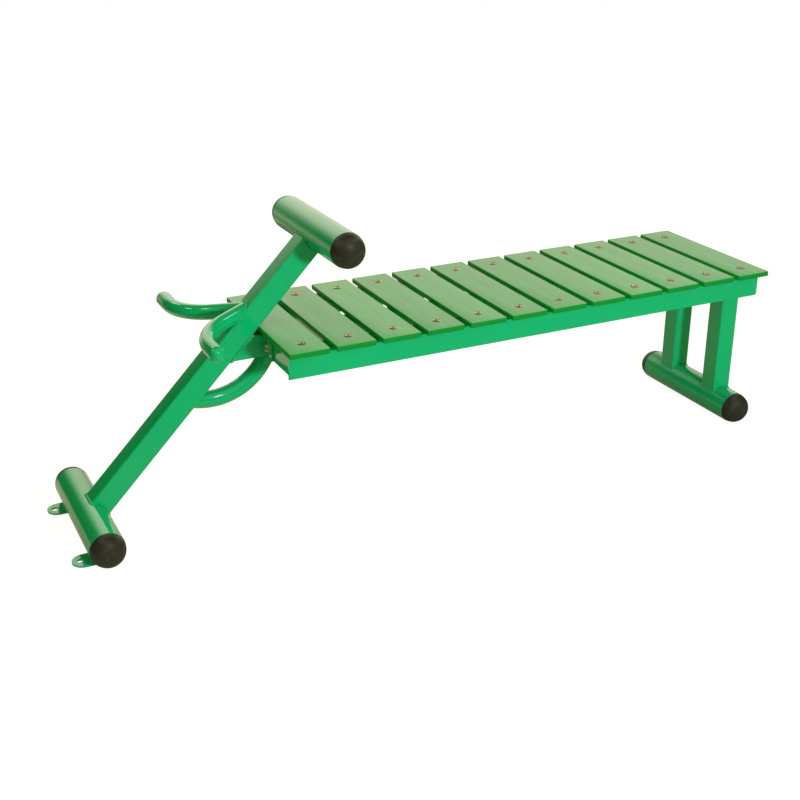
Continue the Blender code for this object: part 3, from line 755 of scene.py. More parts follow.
@dataclass
class TreeBuilder:
    """A geometry tree with named inputs that ends in real geometry with a material."""

    name: str
    inputs: dict[str, str]

    def __post_init__(self) -> None:
        """Starts the tree with its sockets."""
        self.tree = bpy.data.node_groups.new(self.name, "GeometryNodeTree")
        for label, kind in self.inputs.items():
            self.tree.interface.new_socket(label, in_out="INPUT", socket_type=kind)
        self.tree.interface.new_socket("Geometry", in_out="OUTPUT",
                                       socket_type="NodeSocketGeometry")
        self.source = add_node(self.tree, "NodeGroupInput").outputs

    def close(self, geometry: bpy.types.NodeSocket) -> None:
        """Ends the tree: instances are made real and the material is set.

        Args:
            geometry: What the tree has made.
        """
        real = add_node(self.tree, "GeometryNodeRealizeInstances", inputs={"Geometry": geometry})
        painted = add_node(self.tree, "GeometryNodeSetMaterial", inputs={
            "Geometry": real.outputs[0], "Material": self.source["Material"]})
        add_node(self.tree, "NodeGroupOutput", inputs={"Geometry": painted.outputs[0]})

    def run(self, thing: bpy.types.Object, values: dict[str, Any]) -> bpy.types.Mesh:
        """Runs the tree on an object.

        Args:
            thing: Object that takes the modifier; it is removed afterwards.
            values: A value for each named input.

        Returns:
            The plain mesh.
        """
        modifier = thing.modifiers.new(self.name, "NODES")
        modifier.node_group = self.tree
        for item in self.tree.interface.items_tree:
            if item.in_out == "INPUT" and item.name in values:
                modifier[item.identifier] = values[item.name]
        return settled(thing)


class RepeatTree(TreeBuilder):
    """Repeats a piece in rows along X and across Y, each copy with a tone of its own."""

    def __init__(self) -> None:
        """Builds the tree."""
        super().__init__("repeat_in_rows", {
            "Piece": "NodeSocketObject", "Material": "NodeSocketMaterial",
            "Count Along": "NodeSocketInt", "Count Across": "NodeSocketInt",
            "Pitch Along": "NodeSocketFloat", "Pitch Across": "NodeSocketFloat",
            "Start": "NodeSocketVector", "Turn": "NodeSocketFloat", "Seed": "NodeSocketInt"})
        tree, source = self.tree, self.source
        along = add_node(tree, "ShaderNodeCombineXYZ", inputs={"X": source["Pitch Along"]})
        across = add_node(tree, "ShaderNodeCombineXYZ", inputs={"Y": source["Pitch Across"]})
        row = add_node(tree, "GeometryNodeMeshLine", {"mode": "OFFSET"}, {
            "Count": source["Count Along"], "Start Location": source["Start"],
            "Offset": along.outputs[0]})
        column = add_node(tree, "GeometryNodeMeshLine", {"mode": "OFFSET"}, {
            "Count": source["Count Across"], "Offset": across.outputs[0]})
        crossed = add_node(tree, "GeometryNodeInstanceOnPoints", inputs={
            "Points": row.outputs[0], "Instance": column.outputs[0]})
        places = add_node(tree, "GeometryNodeRealizeInstances", inputs={
            "Geometry": crossed.outputs[0]})
        piece = add_node(tree, "GeometryNodeObjectInfo", {"transform_space": "ORIGINAL"}, {
            "Object": source["Piece"]})
        turn = add_node(tree, "FunctionNodeRandomValue", {"data_type": "FLOAT"}, {
            3: source["Turn"], 8: source["Seed"]})
        turned_by = add_node(tree, "ShaderNodeCombineXYZ", inputs={"Z": turn.outputs[1]})
        copies = add_node(tree, "GeometryNodeInstanceOnPoints", inputs={
            "Points": places.outputs[0], "Instance": piece.outputs["Geometry"],
            "Rotation": turned_by.outputs[0]})
        tone = add_node(tree, "FunctionNodeRandomValue", {"data_type": "FLOAT"}, {
            8: source["Seed"]})
        toned = add_node(tree, "GeometryNodeStoreNamedAttribute", {
            "data_type": "FLOAT", "domain": "INSTANCE"}, {
            "Geometry": copies.outputs[0], "Name": "tone", "Value": tone.outputs[1]})
        self.close(toned.outputs[0])


class BeadTree(TreeBuilder):
    """Lays a rippled weld bead along the edges of a mesh."""

    RIPPLE_STEPS = 5.0
    BEAD_SIDES = 10

    def __init__(self) -> None:
        """Builds the tree."""
        super().__init__("weld_bead", {
            "Seams": "NodeSocketGeometry", "Material": "NodeSocketMaterial",
            "Radius": "NodeSocketFloat", "Ripple": "NodeSocketFloat", "Lift": "NodeSocketFloat"})
        tree, source = self.tree, self.source
        curve = add_node(tree, "GeometryNodeMeshToCurve", inputs={0: source["Seams"]})
        step = add_node(tree, "ShaderNodeMath", {"operation": "DIVIDE"}, {
            0: source["Ripple"], 1: self.RIPPLE_STEPS})
        even = add_node(tree, "GeometryNodeResampleCurve", {"mode": "LENGTH"}, {
            "Curve": curve.outputs[0], "Length": step.outputs[0]})
        run = add_node(tree, "GeometryNodeSplineParameter").outputs["Length"]
        phase = add_node(tree, "ShaderNodeMath", {"operation": "DIVIDE"}, {
            0: run, 1: source["Ripple"]})
        angle = add_node(tree, "ShaderNodeMath", {"operation": "MULTIPLY"}, {
            0: phase.outputs[0], 1: 2 * math.pi})
        wave = add_node(tree, "ShaderNodeMath", {"operation": "SINE"}, {0: angle.outputs[0]})
        stored = add_node(tree, "GeometryNodeStoreNamedAttribute", {
            "data_type": "FLOAT", "domain": "POINT"}, {
            "Geometry": even.outputs[0], "Name": "ripple", "Value": wave.outputs[0]})
        circle = add_node(tree, "GeometryNodeCurvePrimitiveCircle", inputs={
            "Resolution": self.BEAD_SIDES, "Radius": source["Radius"]})
        bead = add_node(tree, "GeometryNodeCurveToMesh", inputs={
            "Curve": stored.outputs[0], "Profile Curve": circle.outputs[0], "Fill Caps": True})
        ripple = add_node(tree, "GeometryNodeInputNamedAttribute", {"data_type": "FLOAT"}, {
            "Name": "ripple"})
        height = add_node(tree, "ShaderNodeMath", {"operation": "MULTIPLY"}, {
            0: ripple.outputs[0], 1: source["Lift"]})
        outward = add_node(tree, "ShaderNodeVectorMath", {"operation": "SCALE"}, {
            0: add_node(tree, "GeometryNodeInputNormal").outputs[0],
            "Scale": height.outputs[0]})
        rippled = add_node(tree, "GeometryNodeSetPosition", inputs={
            "Geometry": bead.outputs[0], "Offset": outward.outputs[0]})
        smooth = add_node(tree, "GeometryNodeSetShadeSmooth", inputs={
            "Geometry": rippled.outputs[0]})
        self.close(smooth.outputs[0])


@dataclass
class CappedTube:
    """A level round tube with a moulded dome plugged into each end."""

    tube: RoundTube
    cap_name: str
    wall: float = 0.003
    edge_round: float = 0.0005
    rim_height: float = 0.0016
    rim_step: float = 0.0007
    cap_wall: float = 0.004
    sides: int = 96
    rings: int = 16

    def build(self, shelf: FinishShelf) -> None:
        """Builds the tube and its two caps.

        Args:
            shelf: Where the finishes are kept.
        """
        self.build_tube(shelf.take(Finish.COAT))
        for label, side in SIDES.items():
            self.build_cap(label, side, shelf.take(Finish.CAP))

    def build_tube(self, material: bpy.types.Material) -> None:
        """Builds the open tube with eased ends.

        Args:
            material: Its finish.
        """
        centre, radius, half = self.tube.centre, self.tube.radius, self.tube.half_length
        ease = self.edge_round
        profile = [(radius - ease, -half), (radius, ease - half), (radius, half - ease),
                   (radius - ease, half), (radius - self.wall, half), (radius - self.wall, -half)]
        rows = [ring(centre + Vector((0, run, 0)), Vector((1, 0, 0)), Vector((0, 0, 1)), size,
                     self.sides) for size, run in profile]
        mesh = skin(self.tube.node, rows, wrap=True)
        place_piece(self.tube.node + "_fine", mesh, material, [self.tube.node])

    def build_cap(self, label: str, side: int, material: bpy.types.Material) -> None:
        """Builds one cap: dome, rim, and an open stem inside the tube.

        Args:
            label: The end's name.
            side: Which way the end looks along Y.
            material: The cap's finish.
        """
        node = f"{self.cap_name}_{label}"
        low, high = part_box(node)
        radius = self.tube.radius
        mouth = self.tube.half_length + GAP
        depth = (high.y if side > 0 else -low.y) - mouth
        stem_length = mouth - (low.y if side > 0 else -high.y)
        stem = radius - self.wall - GAP
        cup = stem - self.cap_wall
        dome_radius, dome_depth = radius - self.rim_step, depth - self.rim_height
        profile = [(dome_radius * math.sin(turn), self.rim_height + dome_depth * math.cos(turn))
                   for turn in quarter(self.rings)]
        profile += [(radius - self.rim_step / 3, self.rim_height - self.rim_step / 2),
                    (radius, self.rim_height / 2), (radius, self.rim_step / 2),
                    (radius - self.rim_step / 2, 0), (stem, 0), (stem, -stem_length),
                    (cup, -stem_length)]
        profile += [(cup * math.sin(turn), (depth - self.cap_wall) * math.cos(turn))
                    for turn in reversed(quarter(self.rings // 2))]
        foot = Vector((self.tube.centre.x, side * mouth, self.tube.centre.z))
        mesh = turned(node, profile, foot, Vector((0, side, 0)), self.sides)
        place_piece(node + "_fine", mesh, material, [node])


@dataclass
class Handles:
    """The two bent pipes on the post's upper face."""

    post: PostLine
    bend_radius: float = 0.129
    splay: float = math.radians(30)
    droop: float = math.radians(6.6)  # of the grips below the roots
    root_height: float = 0.4448
    reach: float = 0.111
    root_spacing: float = 0.018
    radius: float = 0.01685
    bend_steps: int = 28
    dome_rings: int = 12
    seam_sides: int = 64

    def path(self, side: int) -> list[Vector]:
        """Draws the axis of one handle, from inside the post to the centre of its round end.

        Args:
            side: Which way the handle goes along Y.

        Returns:
            Points of the axis.
        """
        root = meet_plane(Vector((0, 0, self.root_height)), Vector((1, 0, 0)), self.post.upper,
                          self.post.normal)
        bend_out = self.reach - self.bend_radius
        sine, cosine = math.sin(self.splay), math.cos(self.splay)
        straight = (bend_out + self.bend_radius * sine) / cosine
        bend_y = self.root_spacing / 2 + straight * sine + self.bend_radius * cosine
        buried = 2 * self.radius
        points = [(-buried * cosine, self.root_spacing / 2 - buried * sine)]
        for step in range(self.bend_steps + 1):
            turn = self.splay + (math.pi / 2 - self.splay) * step / self.bend_steps
            points.append((bend_out + self.bend_radius * math.sin(turn),
                           bend_y - self.bend_radius * math.cos(turn)))
        points.append((self.reach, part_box("handle_right")[1].y - self.radius))
        outward = Vector((-math.cos(self.droop), 0, -math.sin(self.droop)))
        return [root + outward * out + Vector((0, side * y, 0)) for out, y in points]

    @property
    def up(self) -> Vector:
        """Square to the plane in which the handles are bent."""
        return Vector((-math.sin(self.droop), 0, math.cos(self.droop)))

    def build(self, shelf: FinishShelf) -> None:
        """Builds both handles.

        Args:
            shelf: Where the finishes are kept.
        """
        for label, side in SIDES.items():
            node = "handle_" + label
            mesh = bar_along(node, self.path(side), self.up, self.radius,
                             dome_rings=self.dome_rings)
            trimmed(mesh, [(self.post.upper, -self.post.normal),
                           (Vector((0, side * GAP / 2, 0)), Vector((0, -side, 0)))])
            place_piece(node + "_fine", mesh, shelf.take(Finish.COAT), [node])

    def seam(self) -> list[Vector]:
        """Draws the outline of both roots on the post's upper face.

        Returns:
            Points of one closed loop.
        """
        loop = []
        for side in (1, -1):
            path = self.path(side)
            heading = (path[0] - path[1]).normalized()
            circle = ring(path[1], self.up, heading.cross(self.up), self.radius,
                          self.seam_sides)
            half = [meet_plane(point, heading, self.post.upper, self.post.normal)
                    for point in circle]
            half = [point for point in half if point.y * side > 0]
            half.sort(key=lambda point: math.atan2(point.z - path[0].z, point.y * side))
            loop += half if side > 0 else half[::-1]
        return loop


@dataclass
class Brace:
    """The bent tube from the back of the post up to the front crossmember."""

    post: PostLine
    bend_radius: float = 0.1437
    steps: int = 48
    seam_sides: int = 48

    def path(self) -> list[Vector]:
        """Draws the axis of the brace: one arc, from inside the post past the crossmember.

        Returns:
            Points of the axis.
        """
        low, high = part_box("brace_tube")
        radius = self.radius
        centre_z = low.z + radius + self.bend_radius
        reach = math.sqrt((self.bend_radius + radius) ** 2 - (centre_z - high.z) ** 2)
        centre = Vector((high.x - reach, 0, centre_z))
        offset = (centre - self.post.foot.centre).dot(self.post.normal)
        start = (centre - self.post.normal * offset
                 - self.post.heading * math.sqrt(self.bend_radius ** 2 - offset ** 2))
        first = math.atan2(start.x - centre.x, centre.z - start.z)
        turns = [first + (math.pi / 2 - first) * step / self.steps
                 for step in range(self.steps + 1)]
        return [centre + self.bend_radius * Vector((math.sin(turn), 0, -math.cos(turn)))
                for turn in turns]

    @property
    def radius(self) -> float:
        """Radius of the tube."""
        low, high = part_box("brace_tube")
        return (high.y - low.y) / 2

    @property
    def top(self) -> Vector:
        """A point on the plane that its upper end is cut to."""
        return Vector((0, 0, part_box("brace_tube")[1].z))

    def build(self, shelf: FinishShelf) -> None:
        """Builds the brace.

        Args:
            shelf: Where the finishes are kept.
        """
        mesh = bar_along("brace_tube", self.path(), Vector((0, 1, 0)), self.radius)
        trimmed(mesh, [(self.post.lower, self.post.normal), (self.top, Vector((0, 0, 1)))])
        place_piece("brace_tube_fine", mesh, shelf.take(Finish.COAT), ["brace_tube"])

    def seams(self) -> list[list[Vector]]:
        """Draws the outlines of its two ends, on the post and under the crossmember.

        Returns:
            Points of two closed loops.
        """
        path = self.path()
        loops = []
        for plane, normal, points in ((self.post.lower, self.post.normal, path),
                                      (self.top, Vector((0, 0, 1)), path[::-1])):
            after = next(index for index, point in enumerate(points)
                         if (point - plane).dot(normal) < 0)
            heading = (points[after - 1] - points[after]).normalized()
            circle = ring(points[after], Vector((0, 1, 0)), heading.cross(Vector((0, 1, 0))),
                          self.radius, self.seam_sides)
            loops.append([meet_plane(point, heading, plane, normal) for point in circle])
        return loops


@dataclass
class SlatDeck:
    """The boards across the rails and the rows of bolts that hold them."""

    repeat: RepeatTree
    edge_round: float = 0.0028
    counterbore: float = 0.0206
    counterbore_depth: float = 0.003
    bolt_hole: float = 0.009
    socket_width: float = 0.005
    socket_depth: float = 0.0024
    edge_break: float = 0.0003
    ring_wall: float = 0.0008
    head_width: float = 0.0128
    shank_width: float = 0.008
    nut_width: float = 0.013
    nut_height: float = 0.0065
    flange: float = 0.005               # thickness of the rail that the nut bears on
    board_seed: int = 4
    bolt_seed: int = 11
    cup_seed: int = 7
    sides: int = 32
    bore_sides: int = 40

    def boards(self) -> list[str]:
        """Names of the board nodes from front to rear."""
        return sorted(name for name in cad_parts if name.startswith("slat_")
                      and not name.startswith("slat_bolt"))

    def bolts(self) -> list[str]:
        """Names of the bolt nodes."""
        return sorted(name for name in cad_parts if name.startswith("slat_bolt"))

    def build(self, shelf: FinishShelf) -> None:
        """Builds the boards, the bolts and the cups that the bolts sit in.

        Args:
            shelf: Where the finishes are kept.
        """
        names = self.boards()
        low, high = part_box(names[0])
        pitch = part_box(names[1])[0].x - low.x
        bolt_low, bolt_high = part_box("slat_bolt_left_01")
        bolt = (bolt_low + bolt_high) / 2
        spacing = -2 * bolt.y
        self.repeated("slat_boards", self.board_template(high - low, spacing),
                      shelf.take(Finish.BOARD), names, {
                          "Count Along": len(names), "Count Across": 1, "Pitch Along": pitch,
                          "Start": (low + high) / 2, "Seed": self.board_seed})
        rows = {"Count Along": len(names), "Count Across": 2, "Pitch Along": pitch,
                "Pitch Across": spacing, "Start": Vector((bolt.x, bolt.y, high.z))}
        self.repeated("slat_bolt_rows", self.bolt_template(bolt_low, bolt_high, high.z),
                      shelf.take(Finish.BRIGHT_ZINC), self.bolts(),
                      {**rows, "Turn": math.pi / 3, "Seed": self.bolt_seed})
        self.repeated("slat_bolt_cups", make_object("cup_template", self.cup_washer()),
                      shelf.take(Finish.YELLOW_ZINC), self.bolts(),
                      {**rows, "Turn": math.pi, "Seed": self.cup_seed}, stands_for=False)

    def repeated(self, name: str, template: bpy.types.Object, material: bpy.types.Material,
                 nodes: Sequence[str], values: dict[str, Any], stands_for: bool = True) -> None:
        """Repeats a template in rows, as one piece, and removes the template.

        Args:
            name: Name of the piece.
            template: Object that is repeated.
            material: Its finish.
            nodes: Frame nodes that the piece belongs to.
            values: The rest of the tree's inputs.
            stands_for: True if the piece is shown in place of those nodes.
        """
        mesh = self.repeat.run(make_object("rows", bpy.data.meshes.new("rows")),
                               {"Piece": template, "Material": material, **values})
        bpy.data.objects.remove(template)
        place_piece(name, mesh, material, nodes, stands_for)

    def cup_washer(self) -> bpy.types.Mesh:
        """Makes one cup washer that lines a counterbore, level with the board's top.

        Returns:
            Its mesh.
        """
        rim = self.counterbore / 2 - GAP / 2
        floor = GAP - self.counterbore_depth
        inner = self.head_width / 2 + GAP
        wall = self.ring_wall
        profile = [(inner, floor), (rim - wall, floor), (rim - wall / 4, -wall), (rim, 0),
                   (rim, wall / 4), (rim - wall / 2, wall / 2), (rim - 2 * wall, 0),
                   (inner + wall, floor + 2 * wall), (inner, floor + wall)]
        rows = [ring(Vector((0, 0, height)), Vector((1, 0, 0)), Vector((0, 1, 0)), radius,
                     self.sides) for radius, height in profile]
        return skin("cup", rows, wrap=True)

    def board_template(self, size: Vector, spacing: float) -> bpy.types.Object:
        """Makes one board about the origin, with its two counterbored holes.

        Args:
            size: Width, length and thickness.
            spacing: Between the two holes.

        Returns:
            The board.
        """
        shape = bmesh.new()
        bmesh.ops.create_cube(shape, size=1, matrix=Matrix.Diagonal((*size, 1)))
        bmesh.ops.bevel(shape, geom=shape.edges, offset=self.edge_round, segments=4,
                        affect="EDGES", profile=0.5)
        mesh = bpy.data.meshes.new("board")
        shape.to_mesh(mesh)
        shape.free()
        board = make_object("board_template", mesh)
        top = size.z / 2
        floor = top - self.counterbore_depth
        hole, pocket, ease = self.bolt_hole / 2, self.counterbore / 2, self.edge_break
        profile = [(0, -2 * top), (hole, -2 * top), (hole, floor), (pocket, floor),
                   (pocket, top - ease), (pocket + 2 * ease, top + ease), (0, top + ease)]
        for side in SIDES.values():
            cut_out(board, make_object("bore", turned(
                "bore", profile, Vector((0, side * spacing / 2, 0)), Vector((0, 0, 1)),
                self.bore_sides)))
        shaded(board.data)
        return board

    def bolt_template(self, low: Vector, high: Vector, seat_top: float) -> bpy.types.Object:
        """Makes one socket-headed bolt with its nut, whose origin is level with the board's top.

        Args:
            low: Lowest corner of the frame's bolt.
            high: Highest corner of it.
            seat_top: Height of the board's top.

        Returns:
            The bolt.
        """
        head, shank, ease = self.head_width / 2, self.shank_width / 2, self.edge_break
        seat = GAP - self.counterbore_depth
        crown = high.z - seat_top
        end = low.z - seat_top
        rise = (crown - seat) / 3
        profile = [(head * math.sin(turn), seat + 2 * rise + rise * math.cos(turn))
                   for turn in quarter(8)]
        profile += [(head, seat), (shank, seat), (shank, end + ease), (shank - ease, end), (0, end)]
        up = Vector((0, 0, 1))
        bolt = make_object("bolt_template", turned("bolt", profile, Vector(), up, self.sides))
        corner = self.socket_width / 2 / math.cos(math.pi / 6)
        depth = self.socket_depth
        cut_out(bolt, make_object("key", turned("key", [
            (0, crown - 1.3 * depth), (corner, crown - depth), (corner, crown + depth),
            (0, crown + depth)], Vector(), up, 6)))
        nut_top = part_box("rail_left")[1].z - seat_top - self.flange
        nut_end = nut_top - self.nut_height
        corner = self.nut_width / 2 / math.cos(math.pi / 6)
        nut = turned("nut", [(0, nut_end), (corner - 3 * ease, nut_end), (corner, nut_end + 2 * ease),
                             (corner, nut_top - 2 * ease), (corner - 3 * ease, nut_top),
                             (0, nut_top)], Vector(), up, 6)
        shape = bmesh.new()
        shape.from_mesh(bolt.data)
        shape.from_mesh(nut)
        shape.to_mesh(bolt.data)
        shape.free()
        shaded(bolt.data)
        return bolt


@dataclass
class SteelWork:
    """The flat and square steel pieces, which keep the frame's shape and get eased edges."""

    nodes: tuple[str, ...] = ("front_post", "link_tube", "front_crossmember", "under_frame",
                              "rail_left", "rail_right", "rear_leg_left", "rear_leg_right",
                              "anchor_lug_left", "anchor_lug_right")
    edge_round: float = 0.0006
    flat_angle: float = math.radians(1)     # facets closer than this count as one face

    def build(self, shelf: FinishShelf) -> None:
        """Builds each piece from a merged copy of its node.

        Args:
            shelf: Where the finishes are kept.
        """
        for node in self.nodes:
            shape = bmesh.new()
            shape.from_mesh(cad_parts[node].data)
            bmesh.ops.remove_doubles(shape, verts=shape.verts, dist=GAP / 50)
            bmesh.ops.dissolve_limit(shape, angle_limit=self.flat_angle, verts=shape.verts,
                                     edges=shape.edges)
            mesh = bpy.data.meshes.new(node)
            shape.to_mesh(mesh)
            shape.free()
            thing = make_object(node + "_eased", shaded(mesh))
            bevel = thing.modifiers.new("eased_edges", "BEVEL")
            bevel.width = self.edge_round
            bevel.segments = 2
            bevel.limit_method = "ANGLE"
            bevel.angle_limit = SMOOTH_ANGLE
            flat = thing.modifiers.new("flat_faces", "WEIGHTED_NORMAL")
            flat.keep_sharp = True
            place_piece(node + "_fine", settled(thing), shelf.take(Finish.COAT), [node])


@dataclass
class FlangeBolts:
    """The two bolts through the link's end plate, with washers in front and nuts behind."""

    plate: float = 0.005
    wall: float = 0.004                 # of the crossmember behind the plate
    head_share: float = 0.875           # of the washer's radius
    head_bulge: float = 0.62            # of the head's height that curves
    head_band: float = 0.28             # of the head's height that is straight
    socket_share: float = 0.34          # of the head's radius
    socket_depth: float = 0.0026
    washer_depth: float = 0.002
    edge_break: float = 0.0004
    shank_radius: float = 0.005
    nut_radius: float = 0.008
    nut_depth: float = 0.008
    nut_corner: float = 1.1             # radius at the corners over the radius at the flats
    chamfer: float = 0.0006
    sides: int = 36

    def build(self, shelf: FinishShelf) -> None:
        """Builds both bolts.

        Args:
            shelf: Where the finishes are kept.
        """
        for label in SIDES:
            self.build_bolt("flange_bolt_" + label, shelf.take(Finish.BRIGHT_ZINC))

    def build_bolt(self, node: str, material: bpy.types.Material) -> None:
        """Builds one bolt over its node, with its head toward -X.

        Args:
            node: The frame's bolt.
            material: The bolt's finish.
        """
        low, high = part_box(node)
        centre = Vector((low.x, (low.y + high.y) / 2, (low.z + high.z) / 2))
        length, washer = high.x - low.x, (high.z - low.z) / 2
        head, shank, ease = washer * self.head_share, self.shank_radius, self.edge_break
        key, corner = head * self.socket_share, self.nut_radius * self.nut_corner
        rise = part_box("link_tube")[1].x - self.plate - GAP - self.washer_depth - low.x
        seat = rise + self.washer_depth
        nut = seat + self.plate + self.wall + 3 * GAP
        profile = [(0, self.socket_depth), (key, self.socket_depth), (key, ease / 2),
                   (key + ease, 0)]
        profile += [(key + ease + (head - key - 2 * ease) * math.sin(turn),
                     ease + rise * self.head_bulge * (1 - math.cos(turn)))
                    for turn in quarter(6)[1:]]
        profile += [(head, rise * (1 - self.head_band)), (head, rise), (washer - 0.75 * ease, rise),
                    (washer, rise + ease), (washer, seat), (shank, seat), (shank, nut),
                    (self.nut_radius, nut), (corner, nut + self.chamfer),
                    (corner, nut + self.nut_depth), (shank, nut + self.nut_depth),
                    (shank, length - self.chamfer), (shank - self.chamfer, length), (0, length)]
        mesh = turned(node, profile, centre, Vector((1, 0, 0)), self.sides)
        place_piece(node + "_fine", mesh, material, [node])


@dataclass
class WeldSeams:
    """The coated weld beads where the steel pieces meet."""

    post: PostLine
    rear: RoundTube
    handles: Handles
    brace: Brace
    tree: BeadTree
    corner: float = 0.004
    plate: float = 0.005
    radius: float = 0.0033
    ripple: float = 0.0036
    lift: float = 0.0004

    def on_post_ends(self) -> list[list[Vector]]:
        """Draws the outlines of the post on the foot and on the leg bar.

        Returns:
            Points of each closed loop.
        """
        middle = (self.post.foot.centre + self.post.bar.centre) / 2
        loops = []
        for tube, heading in ((self.post.foot, -self.post.heading),
                              (self.post.bar, self.post.heading)):
            loops.append([tube.meet(middle + self.post.normal * up + Vector((0, across, 0)),
                                    heading)
                          for across, up in square_outline(self.post.width, self.corner)])
        return loops

    def on_link(self) -> list[list[Vector]]:
        """Draws the outlines of the link on the post and on its end plate.

        Returns:
            Points of each closed loop.
        """
        low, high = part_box("link_tube")
        height = (low.z + high.z) / 2
        plate = high.x - self.plate
        loops = []
        outline = square_outline(self.post.width, self.corner)
        for point, normal in ((self.post.lower, self.post.normal),
                              (Vector((plate, 0, 0)), Vector((1, 0, 0)))):
            loops.append([meet_plane(Vector((0, across, height + up)), Vector((1, 0, 0)),
                                     point, normal) for across, up in outline])
        return loops

    def on_legs(self) -> list[list[Vector]]:
        """Draws the outlines of the rear legs on the rear foot and under the seat.

        Returns:
            Points of each closed loop.
        """
        loops = []
        outline = square_outline(self.post.width, self.corner)
        for label in SIDES:
            low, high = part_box("rear_leg_" + label)
            centre = (low + high) / 2
            points = [centre + Vector((along, across, 0)) for along, across in outline]
            loops.append([self.rear.meet(point, Vector((0, 0, -1))) for point in points])
            loops.append([Vector((point.x, point.y, high.z)) for point in points])
        return loops

    def on_lugs(self) -> list[list[Vector]]:
        """Draws the lines where the lugs meet the front foot.

        Returns:
            Points of each open line.
        """
        lines = []
        for label in SIDES:
            low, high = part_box("anchor_lug_" + label)
            lines.append([Vector((high.x, low.y + self.radius, high.z)),
                          Vector((high.x, high.y - self.radius, high.z))])
        return lines

    def on_rails(self) -> list[list[Vector]]:
        """Draws the upright lines where the front crossmember meets the rails.

        Returns:
            Points of each open line.
        """
        low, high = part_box("front_crossmember")
        return [[Vector((low.x, end, low.z + self.radius)), Vector((low.x, end, high.z))]
                for end in (low.y, high.y)]

    def build(self, shelf: FinishShelf) -> None:
        """Builds all the beads as one piece.

        Args:
            shelf: Where the finishes are kept.
        """
        closed = [*self.on_post_ends(), *self.on_link(), *self.on_legs(), *self.brace.seams(),
                  self.handles.seam()]
        points: list[Vector] = []
        edges: list[tuple[int, int]] = []
        for path, is_closed in [(loop, True) for loop in closed] + [
                (line, False) for line in (*self.on_lugs(), *self.on_rails())]:
            first = len(points)
            points += path
            edges += [(index, index + 1) for index in range(first, len(points) - 1)]
            if is_closed:
                edges.append((len(points) - 1, first))
        seams = bpy.data.meshes.new("seams")
        seams.from_pydata(points, edges, [])
        mesh = self.tree.run(make_object("seams", seams), {
            "Material": shelf.take(Finish.BEAD), "Radius": self.radius, "Ripple": self.ripple,
            "Lift": self.lift})
        place_piece("weld_beads", mesh, shelf.take(Finish.BEAD), ["front_post"],
                    stands_for=False)


